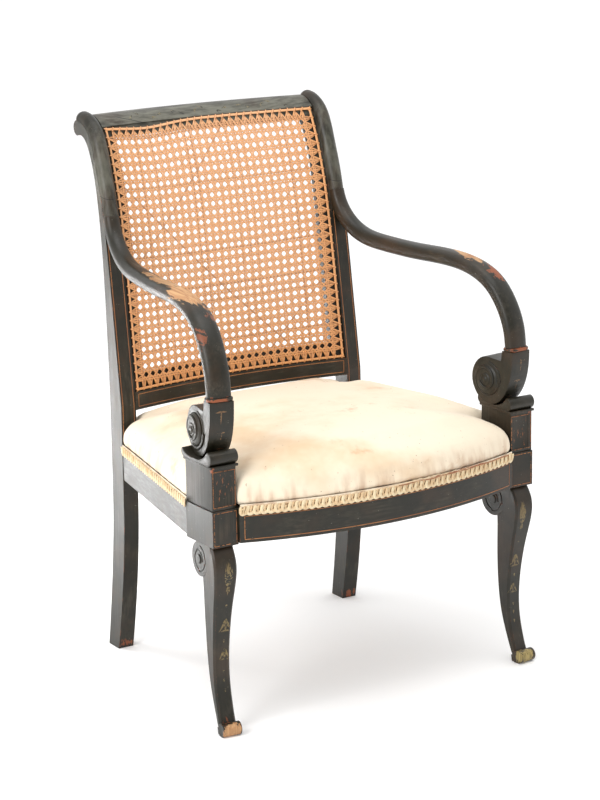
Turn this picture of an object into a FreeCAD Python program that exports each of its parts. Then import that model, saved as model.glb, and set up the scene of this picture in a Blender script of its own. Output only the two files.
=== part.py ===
import math
import os

import FreeCAD
import Part

V = FreeCAD.Vector

# Driving sizes, in millimetres. Front is -Y, up is +Z, the floor is z = 0.

# Rear posts: sabre leg, stile and over-scroll in one piece
OVERALL_HEIGHT = 850.0
POST_WIDTH = 26.0
POST_FOOT_OUTER_X = 227.0
POST_LEAN_DEG = 0.6
POST_FRONT_Y = 156.0
POST_DEPTH = 36.0
POST_TIP_DEPTH = 10.0
POST_TAPER_POWER = 1.6
SABRE_TOP_Z = 240.0
SABRE_KICK_FRONT = 30.0
SABRE_KICK_BACK = 27.0
STRAIGHT_ABOVE_SEAT = 66.0
BACK_RAKE = 55.0
BACK_CURL = 32.0
CURL_POWER = 6
CURL_TOP_BELOW_TOP = 28.0
SCROLL_RADIUS = 12.0
SCROLL_BACK_OFFSET = 34.0
MOULDING_RADIUS = 12.5
MOULDING_END_SWELL = 0.4
MOULDING_START_CLEAR = 15.0
LEDGE_WIDTH = 22.0

# Cane panel and the two rails that frame it
CANE_THICKNESS = 2.4
CANE_LAP_ON_RAIL = 1.0
CANE_TOP_BELOW_TOP = 22.0
HOLLOW_BOTTOM = 20.0
HOLLOW_TOP = 18.0
BINDER_WIDTH = 4.0
BINDER_THICKNESS = 1.2
MESH_ACROSS = 12
MESH_UP = 12
MESH_BAR = 11.0
CREST_TOP_BELOW_TOP = 6.0
CREST_LAP = 18.0
LOWER_RAIL_ABOVE_SEAT = 57.0
LOWER_RAIL_HEIGHT = 29.5
LOWER_RAIL_THICKNESS = 18.0
RAIL_REBATE = 24.5

# Seat frame
RAIL_TOP_Z = 339.0
RAIL_HEIGHT = 51.5
RAIL_THICKNESS = 28.0
FRONT_BOW = 44.0
FRONT_RAIL_END_Y = -230.0
BACK_RAIL_SETBACK = 4.0
RAIL_TENON_THICKNESS = 10.0
RAIL_TENON_LENGTH = 18.0
RAIL_TENON_SHOULDER = 9.0
TENON_ROOT = 6.0
BACK_TENON_SETBACK = 20.0
RAIL_SIDE_INSET = 0.5
RAIL_BLOCK_STEP = 1.5
BRACE_LEG = 62.0
BRACE_THICKNESS = 24.0
BRACE_HEIGHT = 26.0
BRACE_DROP = 14.0
SCREW_RADIUS = 2.2
SCREW_HEAD_RADIUS = 4.2
SCREW_LENGTH = 40.0

# Front corners
BLOCK_WIDTH = 42.0
BLOCK_DEPTH = 76.0
BLOCK_OUTER_X = 284.5
BLOCK_FRONT_Y = -226.0
BLOCK_BOTTOM_Z = 285.0
UPPER_BLOCK_HEIGHT = 63.0
UPPER_BLOCK_INSET = 1.2
PANEL_BORDER = 6.0
PANEL_SINK = 1.2
FILLET_HEIGHT = 3.5
FILLET_PROUD = 1.6
SADDLE_HEIGHT = 20.0
SADDLE_WEB = 4.0
SADDLE_OVERHANG = 6.0
SADDLE_ROLL_IN = 2.0
SADDLE_DIP_RADIUS = 40.0

# Front legs
LEG_SPLAY_DEG = 6.0
LEG_CENTRE_X = 264.5
LEG_CENTRE_SETBACK = 21.0
LEG_DEPTH = 48.0
LEG_SWING = 20.0
LEG_ARRIS = 3.0
LEG_TOP_WIDTH = 36.0
LEG_ANKLE_WIDTH = 26.0
TOE_WIDTH = 29.0
TOE_RADIUS = 10.0
TOE_FORWARD = 5.0
LEG_SCROLL_RADIUS = 26.0
LEG_EYE_RADIUS = 7.0
EYE_PROUD = 2.0
GROOVE_DEPTH = 1.2
GROOVE_WIDTH = 2.2

# Arms
ARM_SPLAY_DEG = 7.66
ARM_PLANE_X = 233.0
ARM_ROOT_WIDTH = 25.0
ARM_FRONT_WIDTH = 37.0
ARM_THICKNESS = 25.0
SCROLL_HEIGHT = 97.5
ARM_DROP = 118.0
ARM_JOINT_RISE = 76.0
RING_RADIUS = 2.6
RING_PROUD = 1.5
RING_CORNER = 10.0
STEM_SETBACK = 13.0
STEM_WIDTH = 37.0
STEM_THICKNESS = 22.0
VOLUTE_RADIUS = 36.0
VOLUTE_EYE_RADIUS = 9.0
VOLUTE_EYE_PROUD = 4.0
DOWEL_RADIUS = 5.0
DOWEL_UP = 16.0
DOWEL_DOWN = 22.0
BLOCK_DOWEL_REACH = 14.0
BLOCK_DOWEL_SETOFF = 8.0

# Upholstery
WEB_WIDTH = 50.0
WEB_THICKNESS = 1.6
WEB_CLEAR = 8.0
HESSIAN_THICKNESS = 1.0
PAD_EDGE_HEIGHT = 30.0
PAD_CROWN = 36.0
PAD_INSET = 2.0
GIMP_HEIGHT = 12.0
GIMP_THICKNESS = 2.2
TACK_RADIUS = 2.5
TACK_HEAD = 1.0
TACK_LENGTH = 8.0

# Fits, and how far a cutting shape runs past what it cuts
GAP = 0.3
OVERCUT = 10.0

# Worked out from the sizes above
POST_SINE = math.tan(math.radians(POST_LEAN_DEG))
CURL_TOP_Z = OVERALL_HEIGHT - CURL_TOP_BELOW_TOP
STRAIGHT_TOP_Z = RAIL_TOP_Z + STRAIGHT_ABOVE_SEAT
CANE_TOP_Z = OVERALL_HEIGHT - CANE_TOP_BELOW_TOP
LOWER_RAIL_BOTTOM_Z = RAIL_TOP_Z + LOWER_RAIL_ABOVE_SEAT
LOWER_RAIL_TOP_Z = LOWER_RAIL_BOTTOM_Z + LOWER_RAIL_HEIGHT
CANE_BOTTOM_Z = LOWER_RAIL_TOP_Z - CANE_LAP_ON_RAIL
REBATE_TOP_Z = LOWER_RAIL_TOP_Z + RAIL_REBATE
CREST_BOTTOM_Z = CANE_TOP_Z - CREST_LAP
RAIL_BOTTOM_Z = RAIL_TOP_Z - RAIL_HEIGHT
BLOCK_INNER_X = BLOCK_OUTER_X - BLOCK_WIDTH
BLOCK_CENTRE_X = BLOCK_OUTER_X - BLOCK_WIDTH / 2
BLOCK_BACK_Y = BLOCK_FRONT_Y + BLOCK_DEPTH
BLOCK_TOP_Z = RAIL_TOP_Z + UPPER_BLOCK_HEIGHT
FILLET_TOP_Z = BLOCK_TOP_Z + FILLET_HEIGHT
RING_Z = FILLET_TOP_Z + SCROLL_HEIGHT
ARM_FLAT_Z = RING_Z + ARM_DROP
MOULDING_BOTTOM_Z = ARM_FLAT_Z + ARM_JOINT_RISE
BACK_RAIL_FRONT_Y = POST_FRONT_Y + BACK_RAIL_SETBACK


def post_outer_x(z):
    """Outer side face of a rear post at height z."""
    return POST_FOOT_OUTER_X - z * POST_SINE


def post_inner_x(z):
    """Inner side face of a rear post at height z."""
    return post_outer_x(z) - POST_WIDTH


def rise(z):
    """0 where the back starts to rake, 1 where the over-scroll starts."""
    return max(0.0, min(1.0, (z - STRAIGHT_TOP_Z) / (CURL_TOP_Z - STRAIGHT_TOP_Z)))


def back_y(z):
    """Front line of the stile, and of the cane at the stile, at height z."""
    h = rise(z)
    return POST_FRONT_Y + BACK_RAKE * h + BACK_CURL * h ** CURL_POWER


def stile_back_y(z):
    """Back line of the stile at height z."""
    taper = (1 - rise(z)) ** POST_TAPER_POWER
    return back_y(z) + POST_TIP_DEPTH + (POST_DEPTH - POST_TIP_DEPTH) * taper


def hollow(z):
    """How far the middle of the back is set behind the stiles at height z."""
    return HOLLOW_BOTTOM + (HOLLOW_TOP - HOLLOW_BOTTOM) * rise(z)


def box(x0, x1, y0, y1, z0, z1):
    return Part.makeBox(x1 - x0, y1 - y0, z1 - z0, V(x0, y0, z0))


def spline(points):
    curve = Part.BSplineCurve()
    curve.interpolate(points)
    return curve.toShape()


def arc(a, b, c):
    return Part.Arc(a, b, c).toShape()


def line(a, b):
    return Part.makeLine(a, b)


def side_prism(edges, x0, x1):
    """Solid from a closed outline in the YZ plane, between x0 and x1."""
    face = Part.Face(Part.Wire(edges))
    face.translate(V(x0, 0, 0))
    return face.extrude(V(x1 - x0, 0, 0))


def mirrored(shape):
    return shape.mirror(V(0, 0, 0), V(1, 0, 0))


def fused(first, *others):
    return first.fuse(list(others)).removeSplitter()


def splayed(shape, x_at_zero, angle):
    """Turn a piece made in the plane x = 0 into its splayed vertical plane on the right side."""
    out = shape.copy()
    out.rotate(V(0, 0, 0), V(0, 0, 1), angle)
    out.translate(V(x_at_zero, 0, 0))
    return out


def leaned(shape):
    """Put a piece, made with the post's outer face at x = 0, on the right post."""
    out = shape.copy()
    out.rotate(V(0, 0, 0), V(0, 1, 0), -POST_LEAN_DEG)
    out.translate(V(POST_FOOT_OUTER_X, 0, 0))
    return out


def between_posts(extra):
    """Prism that fills the space between the posts, and goes into them by extra."""
    top = OVERALL_HEIGHT + 5 * OVERCUT
    low_x = post_inner_x(0) + extra
    top_x = post_inner_x(top) + extra
    deep = 2 * OVERALL_HEIGHT
    corners = [V(-low_x, -deep, 0), V(low_x, -deep, 0), V(top_x, -deep, top), V(-top_x, -deep, top)]
    face = Part.Face(Part.makePolygon(corners + corners[:1]))
    return face.extrude(V(0, 2 * deep, 0))


def back_sheet(z0, z1, front, behind, extra=0.0):
    """Sheet that follows the hollow back, from front before the cane line to behind it."""
    wires = []
    steps = 6
    for i in range(steps + 1):
        z = z0 + (z1 - z0) * i / steps
        x = post_inner_x(z) + extra
        dip = hollow(z)
        y = back_y(z)
        ends = []
        for shift in (-front, behind):
            ends.append((V(-x, y + shift, z), V(0, y + dip + shift, z), V(x, y + shift, z)))
        near, far = ends
        wires.append(Part.Wire([
            arc(*near),
            line(near[2], far[2]),
            arc(far[2], far[1], far[0]),
            line(far[0], near[0]),
        ]))
    return Part.makeLoft(wires, True)


def stile_outline():
    """Side view of a rear post, as edges in the YZ plane."""
    def kick(z):
        return (SABRE_TOP_Z - z) / SABRE_TOP_Z

    below = -OVERCUT
    low = [SABRE_TOP_Z * i / 4 for i in range(5)]
    front_low = [V(0, POST_FRONT_Y + SABRE_KICK_FRONT * kick(z) ** 1.75, z) for z in low]
    back_low = [V(0, POST_FRONT_Y + POST_DEPTH + SABRE_KICK_BACK * kick(z) ** 1.5, z) for z in low]
    span = CURL_TOP_Z - STRAIGHT_TOP_Z
    high = [STRAIGHT_TOP_Z + span * f for f in (0, 0.18, 0.38, 0.58, 0.76, 0.9, 1)]
    roll_y = back_y(CURL_TOP_Z) + SCROLL_BACK_OFFSET
    roll_z = CURL_TOP_Z + SCROLL_RADIUS / 3
    r = SCROLL_RADIUS
    front_high = [V(0, back_y(z), z) for z in high]
    front_high.append(V(0, back_y(CURL_TOP_Z) + 1.5 * r, CURL_TOP_Z + 1.04 * r))
    front_high.append(V(0, roll_y, roll_z + r))
    back_high = [V(0, stile_back_y(z), z) for z in high[:-1]]
    back_high.append(V(0, roll_y - 1.25 * r, roll_z - 0.92 * r))
    back_high.append(V(0, roll_y, roll_z - r))
    foot_front = V(0, front_low[0].y, below)
    foot_back = V(0, back_low[0].y, below)
    return [
        line(foot_front, front_low[0]),
        spline(front_low),
        line(front_low[-1], front_high[0]),
        spline(front_high),
        arc(front_high[-1], V(0, roll_y + r, roll_z), back_high[-1]),
        spline(back_high[::-1]),
        line(back_high[0], back_low[-1]),
        spline(back_low[::-1]),
        line(back_low[0], foot_back),
        line(foot_back, foot_front),
    ], front_high


def stile_moulding(front_high):
    """Half-round on the front of the stile, from the arm joint over the top of the scroll."""
    middle = -POST_WIDTH / 2
    start = V(middle, back_y(MOULDING_BOTTOM_Z), MOULDING_BOTTOM_Z)
    low = MOULDING_BOTTOM_Z + MOULDING_START_CLEAR
    points = [start] + [V(middle, p.y, p.z) for p in front_high if p.z > low]
    curve = Part.BSplineCurve()
    curve.interpolate(points)
    rings = []
    steps = 12
    for i in range(steps + 1):
        u = curve.FirstParameter + (curve.LastParameter - curve.FirstParameter) * i / steps
        rings.append(Part.Wire([Part.makeCircle(MOULDING_RADIUS, curve.value(u), along_curve(curve, u))]))
    tube = Part.makeLoft(rings, True)
    cap = Part.makeSphere(MOULDING_RADIUS + MOULDING_END_SWELL, points[-1])
    return tube.fuse(cap), points[0], along_curve(curve, curve.FirstParameter)


def along_curve(curve, u):
    """Unit direction of a curve at parameter u."""
    return V(*curve.getD1(u)[1]).normalize()


def rail_tenon(x0, x1, y, z_low, z_high):
    """Tenon or mortise of a seat rail, a box that runs along X."""
    half = RAIL_TENON_THICKNESS / 2
    return box(x0, x1, y - half, y + half, z_low, z_high)


def make_posts():
    outline, front_high = stile_outline()
    slab = side_prism(outline, -POST_WIDTH, 0)
    ledge_x = -POST_WIDTH - LEDGE_WIDTH
    ledge = side_prism(outline, ledge_x, -POST_WIDTH)
    ledge = ledge.common(box(ledge_x, -POST_WIDTH, 0, OVERALL_HEIGHT, REBATE_TOP_Z, CREST_BOTTOM_Z))
    tube, root, tangent = stile_moulding(front_high)
    post = leaned(fused(slab, ledge, tube))
    post = post.cut(box(0, 2 * POST_FOOT_OUTER_X, 0, OVERALL_HEIGHT, -5 * OVERCUT, 0))
    cutter = back_sheet(CANE_BOTTOM_Z - GAP, CANE_TOP_Z, 2 * POST_DEPTH, CANE_THICKNESS + GAP)
    return post.cut(cutter), leaned_point(root), leaned_direction(tangent)


def leaned_point(p):
    mark = leaned(Part.Vertex(p))
    return mark.Point


def leaned_direction(d):
    a = leaned_point(V(0, 0, 0))
    b = leaned_point(d)
    return (b - a).normalize()


def make_back_rails():
    """Crest rail and lower back rail, turned about the upright axis of the hollow back."""
    inner = between_posts(0)
    outline, _ = stile_outline()
    half_chord = post_inner_x(CANE_TOP_Z)
    lift = MOULDING_RADIUS - CREST_TOP_BELOW_TOP - GAP
    crest = revolved_rail(outline, half_chord, HOLLOW_TOP, CREST_BOTTOM_Z - lift, OVERALL_HEIGHT)
    crest.translate(V(0, 0, lift))
    cutter = back_sheet(CANE_BOTTOM_Z - GAP, CANE_TOP_Z, 2 * POST_DEPTH, CANE_THICKNESS + GAP, OVERCUT)
    crest = crest.common(inner).cut(cutter)

    y = back_y(LOWER_RAIL_BOTTOM_Z)
    z0 = LOWER_RAIL_BOTTOM_Z
    z1 = REBATE_TOP_Z
    section = [
        V(0, y, z0),
        V(0, y + LOWER_RAIL_THICKNESS, z0),
        V(0, y + LOWER_RAIL_THICKNESS, z1),
        V(0, y, z1),
    ]
    edges = [line(a, b) for a, b in zip(section, section[1:] + section[:1])]
    lower = revolved_rail(edges, post_inner_x(z0), HOLLOW_BOTTOM, z0, z1)
    return crest, lower.common(inner).cut(cutter)


def revolved_rail(edges, half_chord, dip, z0, z1):
    """Turn the part of a side outline between z0 and z1 about the hollow's centre."""
    radius = (half_chord ** 2 + dip ** 2) / (2 * dip)
    face = Part.Face(Part.Wire(edges))
    window = Part.Face(Part.makePolygon([
        V(0, -OVERALL_HEIGHT, z0), V(0, OVERALL_HEIGHT, z0),
        V(0, OVERALL_HEIGHT, z1), V(0, -OVERALL_HEIGHT, z1), V(0, -OVERALL_HEIGHT, z0),
    ]))
    part_face = face.common(window)
    front = back_y(z0 if z1 < CANE_TOP_Z else CANE_TOP_Z)
    part_face.translate(V(0, dip, 0))
    axis = V(0, front + dip - radius, 0)
    angle = math.degrees(math.asin((half_chord + 2 * OVERCUT) / radius))
    part_face.rotate(axis, V(0, 0, 1), -angle)
    return part_face.Faces[0].revolve(axis, V(0, 0, 1), 2 * angle)


def cane_openings():
    """Plain grid of openings that stands for the weave, inside the clear opening of the frame."""
    reach = post_inner_x(CREST_BOTTOM_Z) - LEDGE_WIDTH
    wide = 2 * reach / MESH_ACROSS
    high = (CREST_BOTTOM_Z - REBATE_TOP_Z) / MESH_UP
    half = MESH_BAR / 2
    cells = []
    for i in range(MESH_ACROSS):
        x = -reach + wide * i
        for j in range(MESH_UP):
            z = REBATE_TOP_Z + high * j
            cells.append(box(x + half, x + wide - half, 0, OVERALL_HEIGHT, z + half, z + high - half))
    return cells


def make_cane():
    """Woven panel as a holed sheet of its outer shape, with its binder strips along the four edges."""
    panel = back_sheet(CANE_BOTTOM_Z, CANE_TOP_Z - GAP, 0, CANE_THICKNESS, -GAP)
    panel = panel.cut(cane_openings())
    skin = back_sheet(CANE_BOTTOM_Z, CANE_TOP_Z - GAP, BINDER_THICKNESS + GAP, -GAP, -GAP)
    w = BINDER_WIDTH
    far = OVERALL_HEIGHT
    low = box(-far, far, 0, far, CANE_BOTTOM_Z - OVERCUT, CANE_BOTTOM_Z + w)
    high = box(-far, far, 0, far, CANE_TOP_Z - GAP - w, CANE_TOP_Z + OVERCUT)
    rest = box(-far, far, 0, far, CANE_BOTTOM_Z + w, CANE_TOP_Z - GAP - w)
    inside = between_posts(-GAP - w)
    sides = skin.common(rest).cut(inside)
    left = sides.common(box(-far, 0, 0, far, 0, far))
    right = sides.common(box(0, far, 0, far, 0, far))
    return panel, skin.common(low), skin.common(high), left, right


# Side view of the arm. First, how far back each point is, as a share of the arm's reach. Second,
# how high it is over the flat part, as a share of the rise behind it or of the drop before it.
ARM_LINE = [
    (0.935, 0.42), (0.846, 0.145), (0.709, 0.033), (0.519, 0.0), (0.348, 0.0), (0.227, -0.05),
    (0.117, -0.21), (0.049, -0.47), (0.0125, -0.75), (0.003, -0.93), (0.0015, -1.0),
]


def arm_path(root):
    """Middle line of the right arm, from the stile joint to the ring."""
    angle = math.radians(ARM_SPLAY_DEG)

    def at(y, z):
        return V(ARM_PLANE_X - y * math.tan(angle), y, z)

    front_y = BLOCK_FRONT_Y + STEM_SETBACK
    reach = root.y - front_y
    points = [root]
    for back_share, height_share in ARM_LINE:
        height = height_share * (ARM_JOINT_RISE if height_share > 0 else ARM_DROP)
        points.append(at(front_y + back_share * reach, ARM_FLAT_Z + height))
    return points


def oval(centre, along, width, thickness):
    """Rounded cross section of the arm, square to its direction."""
    splay = math.radians(ARM_SPLAY_DEG)
    side = V(math.cos(splay), math.sin(splay), 0)
    side = (side - along * side.dot(along)).normalize()
    up = along.cross(side).normalize()
    a = width / 2
    b = thickness / 2
    points = []
    for i in range(12):
        t = 2 * math.pi * i / 12
        c = math.cos(t)
        s = math.sin(t)
        x = a * math.copysign(abs(c) ** 0.8, c)
        y = b * math.copysign(abs(s) ** 0.8, s)
        points.append(centre + side * x + up * y)
    curve = Part.BSplineCurve()
    curve.interpolate(points, PeriodicFlag=True)
    return Part.Wire([curve.toShape()])


def make_arm(root, tangent, post):
    curve = Part.BSplineCurve()
    curve.interpolate(arm_path(root))
    sections = []
    steps = 24
    first = curve.FirstParameter
    last = curve.LastParameter
    for i in range(steps + 1):
        f = i / steps
        u = first + (last - first) * f
        along = along_curve(curve, u)
        if i == 0:
            along = tangent * -1
        if i == steps:
            along = V(0, 0, -1)
        grow = min(1.0, f / 0.75) ** 1.3
        width = ARM_ROOT_WIDTH + (ARM_FRONT_WIDTH - ARM_ROOT_WIDTH) * grow
        thick = ARM_THICKNESS + (STEM_THICKNESS - ARM_THICKNESS) * max(0.0, (f - 0.8) / 0.2)
        sections.append(oval(curve.value(u), along, width, thick))
    arm = Part.makeLoft(sections, True)
    nudged = post.copy()
    nudged.translate(V(0, -GAP, 0))
    return arm.cut(post).cut(nudged)


def make_ring():
    """Bead round the foot of the arm, where it meets the carved scroll."""
    z = RING_Z - RING_RADIUS - GAP
    proud = 2 * RING_PROUD
    lie = rounded_plate(ARM_FRONT_WIDTH + proud, STEM_THICKNESS + proud, RING_CORNER, 2 * RING_RADIUS)
    lie.translate(V(0, ring_y(), z - RING_RADIUS))
    long_edges = [e for e in lie.Edges if e.BoundBox.ZLength < 1e-6]
    bead = lie.makeFillet(RING_RADIUS * 0.9, long_edges)
    return splayed(bead, ARM_PLANE_X, ARM_SPLAY_DEG)


def ring_y():
    """Middle of the ring and stem, measured along the splayed plane of the arm."""
    return (BLOCK_FRONT_Y + STEM_SETBACK) / math.cos(math.radians(ARM_SPLAY_DEG))


def rounded_plate(width, depth, corner, height):
    plate = Part.makeBox(width, depth, height, V(-width / 2, -depth / 2, 0))
    upright = [e for e in plate.Edges if e.BoundBox.ZLength > height / 2]
    return plate.makeFillet(min(corner, depth / 2 - 0.5), upright)


def scroll_outline():
    """Side view of the carved scroll under the ring: a stem that curls into a volute."""
    top = RING_Z - 2 * RING_RADIUS - 2 * GAP
    y = ring_y()
    half = STEM_THICKNESS / 2
    r = VOLUTE_RADIUS
    cy = y + half + 0.89 * r
    cz = FILLET_TOP_Z + SADDLE_WEB + GAP + 1.055 * r
    front = [
        V(0, y - half, top),
        V(0, y - half + 0.07 * r, top - 0.89 * r),
        V(0, y - half + 0.33 * r, top - 1.67 * r),
        V(0, cy - 0.62 * r, cz - 0.93 * r),
        V(0, cy - 0.1 * r, cz - 1.055 * r),
    ]
    back = [
        V(0, cy - 0.1 * r, cz - 1.055 * r),
        V(0, cy + 0.62 * r, cz - 0.74 * r),
        V(0, cy + 0.93 * r, cz),
        V(0, cy + 0.62 * r, cz + 0.72 * r),
        V(0, cy - 0.1 * r, cz + 0.97 * r),
    ]
    crotch = V(0, y + half + 0.08 * r, cz + 0.92 * r)
    inner_top = V(0, y + half, top)
    edges = [
        spline(front),
        spline(back),
        line(back[-1], crotch),
        line(crotch, inner_top),
        line(inner_top, front[0]),
    ]
    return edges, cy, cz


def make_arm_scroll():
    edges, cy, cz = scroll_outline()
    half = STEM_WIDTH / 2
    body = side_prism(edges, -half, half)
    groove = volute_groove(cy, cz, VOLUTE_RADIUS, half)
    body = body.cut(groove).cut(groove.mirror(V(0, 0, 0), V(1, 0, 0)))
    eye_x = half + VOLUTE_EYE_PROUD
    eye = Part.makeCylinder(VOLUTE_EYE_RADIUS, 2 * eye_x, V(-eye_x, cy, cz), V(1, 0, 0))
    eye = eye.makeFillet(VOLUTE_EYE_PROUD * 0.7, [e for e in eye.Edges if e.BoundBox.XLength < 1e-6])
    return splayed(fused(body, eye), ARM_PLANE_X, ARM_SPLAY_DEG), cy, cz


def volute_groove(cy, cz, radius, half):
    """Shallow spiral groove in one side of a scroll, as arcs that shrink by a quarter turn."""
    depth = GROOVE_DEPTH
    wide = GROOVE_WIDTH
    pieces = []
    r = radius * 0.80
    for k in range(5):
        start = 100 + 90 * k
        ring = Part.makeCylinder(r + wide / 2, 2 * depth, V(0, 0, 0), V(0, 0, 1), 90)
        core = Part.makeCylinder(r - wide / 2, 2 * depth)
        sector = ring.cut(core)
        sector.rotate(V(0, 0, 0), V(0, 0, 1), start)
        sector.rotate(V(0, 0, 0), V(1, 1, 1), 120)
        sector.translate(V(half - depth, cy, cz))
        pieces.append(sector)
        r -= radius * 0.09
    return pieces[0].fuse(pieces[1:])


def make_saddle():
    """Small cushion moulding on the block, rolled up at both ends, that the scroll sits in."""
    z0 = FILLET_TOP_Z
    y0 = BLOCK_FRONT_Y
    y1 = BLOCK_BACK_Y + SADDLE_OVERHANG
    r = SADDLE_HEIGHT / 2
    half = BLOCK_WIDTH / 2 + FILLET_PROUD
    front_roll = Part.makeCylinder(r, 2 * half, V(-half, y0 + r - SADDLE_ROLL_IN, z0 + r), V(1, 0, 0))
    back_r = r * 0.75
    back_roll = Part.makeCylinder(back_r, 2 * half, V(-half, y1 - back_r, z0 + back_r), V(1, 0, 0))
    web = box(-half, half, y0 + r - SADDLE_ROLL_IN, y1 - back_r, z0, z0 + r)
    saddle = fused(front_roll, back_roll, web)
    saddle.translate(V(BLOCK_CENTRE_X, 0, 0))
    edges, _, _ = scroll_outline()
    grown = side_prism(edges, -BLOCK_WIDTH, BLOCK_WIDTH)
    seat = splayed(grown, ARM_PLANE_X, ARM_SPLAY_DEG)
    for dy, dz in ((0, -GAP), (GAP, 0), (-GAP, 0)):
        moved = seat.copy()
        moved.translate(V(0, dy, dz))
        saddle = saddle.cut(moved)
    dip_r = SADDLE_DIP_RADIUS
    dip = Part.makeCylinder(dip_r, 4 * half, V(-2 * half, (y0 + y1) / 2, z0 + SADDLE_WEB + dip_r), V(1, 0, 0))
    dip.translate(V(BLOCK_CENTRE_X, 0, 0))
    return saddle.cut(dip)


def make_upper_block():
    inset = UPPER_BLOCK_INSET
    x0 = BLOCK_INNER_X + inset
    x1 = BLOCK_OUTER_X - inset
    y0 = BLOCK_FRONT_Y + inset
    block = box(x0, x1, y0, BLOCK_BACK_Y, RAIL_TOP_Z, BLOCK_TOP_Z)
    b = PANEL_BORDER
    panel = box(x0 + b, x1 - b, y0 - OVERCUT, y0 + PANEL_SINK, RAIL_TOP_Z + b, BLOCK_TOP_Z - b)
    fillet = box(
        BLOCK_INNER_X - FILLET_PROUD, BLOCK_OUTER_X + FILLET_PROUD,
        BLOCK_FRONT_Y - FILLET_PROUD, BLOCK_BACK_Y + FILLET_PROUD,
        BLOCK_TOP_Z, FILLET_TOP_Z,
    )
    return fused(block.cut(panel), fillet)


# Front leg in side view, from the block down: height as a share of the leg's, how far the front line
# is set back as a share of the swing, depth as a share of the knee's, width from ankle 0 to top 1.
LEG_LINE = [
    (1.0, 0.5, 0.958, 1.0), (0.933, -0.1, 1.0, 1.0), (0.877, -0.25, 1.0, 1.0), (0.8, -0.125, 0.927, 0.8),
    (0.702, 0.225, 0.8125, 0.5), (0.544, 0.675, 0.656, 0.15), (0.386, 0.9, 0.51, 0.0),
    (0.263, 0.85, 0.396, 0.0), (0.158, 0.55, 0.3125, 0.0), (0.084, 0.225, 0.271, 0.0),
    (0.028, -0.15, 0.25, 0.1),
]


def leg_stations():
    """Sections of the front leg: height, front line, back line and width."""
    stations = []
    for height, setback, depth, wide in LEG_LINE:
        front = BLOCK_FRONT_Y + setback * LEG_SWING
        width = LEG_ANKLE_WIDTH + wide * (LEG_TOP_WIDTH - LEG_ANKLE_WIDTH)
        stations.append((height * BLOCK_BOTTOM_Z, front, front + depth * LEG_DEPTH, width))
    return stations


def make_front_leg():
    """Lower corner block, sabre leg, scroll behind the knee and rolled toe, one piece of wood."""
    turn = 1 / math.cos(math.radians(LEG_SPLAY_DEG))
    sections = []
    for z, front, back, width in leg_stations():
        sections.append(leg_section(front * turn, back * turn, width, z))
    shank = Part.makeLoft(sections, True)
    half = LEG_TOP_WIDTH / 2
    cy = (BLOCK_FRONT_Y + LEG_DEPTH) * turn
    cz = BLOCK_BOTTOM_Z - 1.08 * LEG_SCROLL_RADIUS
    scroll = Part.makeCylinder(LEG_SCROLL_RADIUS, 2 * half, V(-half, cy, cz), V(1, 0, 0))
    neck_y = (BLOCK_FRONT_Y + LEG_SWING / 2) * turn
    neck = box(-half, half, neck_y, cy, cz + LEG_SCROLL_RADIUS / 6, BLOCK_BOTTOM_Z)
    groove = volute_groove(cy, cz, LEG_SCROLL_RADIUS, half)
    eye = Part.makeCylinder(LEG_EYE_RADIUS, 2 * (half + EYE_PROUD), V(-half - EYE_PROUD, cy, cz), V(1, 0, 0))
    eye = eye.makeFillet(EYE_PROUD * 0.8, [e for e in eye.Edges if e.BoundBox.XLength < 1e-6])
    toe_y = (BLOCK_FRONT_Y - TOE_FORWARD) * turn
    toe_half = TOE_WIDTH / 2
    r = TOE_RADIUS
    toe = Part.makeCylinder(r, TOE_WIDTH, V(-toe_half, toe_y, r), V(1, 0, 0))
    sole = box(-toe_half, toe_half, toe_y, toe_y + 0.8 * r, 0, r)
    corners = [
        V(0, toe_y + 0.7 * r, 0), V(0, toe_y + 1.45 * r, 0),
        V(0, toe_y + 1.66 * r, r), V(0, toe_y + 0.7 * r, 1.2 * r),
    ]
    edges = [line(p, q) for p, q in zip(corners, corners[1:] + corners[:1])]
    heel = side_prism(edges, -LEG_ANKLE_WIDTH / 2, LEG_ANKLE_WIDTH / 2)
    leg = fused(shank, scroll, neck)
    leg = leg.cut(groove).cut(groove.mirror(V(0, 0, 0), V(1, 0, 0)))
    leg = fused(leg, eye, toe, sole, heel)
    tilt = math.tan(math.radians(LEG_SPLAY_DEG))
    leg = splayed(leg, LEG_CENTRE_X + (BLOCK_FRONT_Y + LEG_CENTRE_SETBACK) * tilt, LEG_SPLAY_DEG)
    block = box(BLOCK_INNER_X, BLOCK_OUTER_X, BLOCK_FRONT_Y, BLOCK_BACK_Y, BLOCK_BOTTOM_Z, RAIL_TOP_Z)
    return fused(leg, block)


def leg_section(front, back, width, z):
    half = width / 2
    soft = min(LEG_ARRIS, (back - front) / 4)
    points = [
        V(-half, back - soft, z), V(-half, front + soft, z), V(-half + soft, front, z),
        V(half - soft, front, z), V(half, front + soft, z), V(half, back - soft, z),
        V(half - soft, back, z), V(-half + soft, back, z),
    ]
    return Part.makePolygon(points + points[:1])


def front_rail_radius():
    half = BLOCK_INNER_X
    return (half ** 2 + FRONT_BOW ** 2) / (2 * FRONT_BOW)


def make_front_rail():
    radius = front_rail_radius()
    front = FRONT_RAIL_END_Y - FRONT_BOW
    axis_y = front + radius
    outer = Part.makeCylinder(radius, RAIL_HEIGHT, V(0, axis_y, RAIL_BOTTOM_Z))
    inner = Part.makeCylinder(radius - RAIL_THICKNESS, RAIL_HEIGHT, V(0, axis_y, RAIL_BOTTOM_Z))
    near = box(-BLOCK_INNER_X, BLOCK_INNER_X, front - OVERCUT, BLOCK_BACK_Y, RAIL_BOTTOM_Z, RAIL_TOP_Z)
    rail = outer.cut(inner).common(near)
    return rail.fuse([front_tenon(1), front_tenon(-1)]).removeSplitter()


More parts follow.
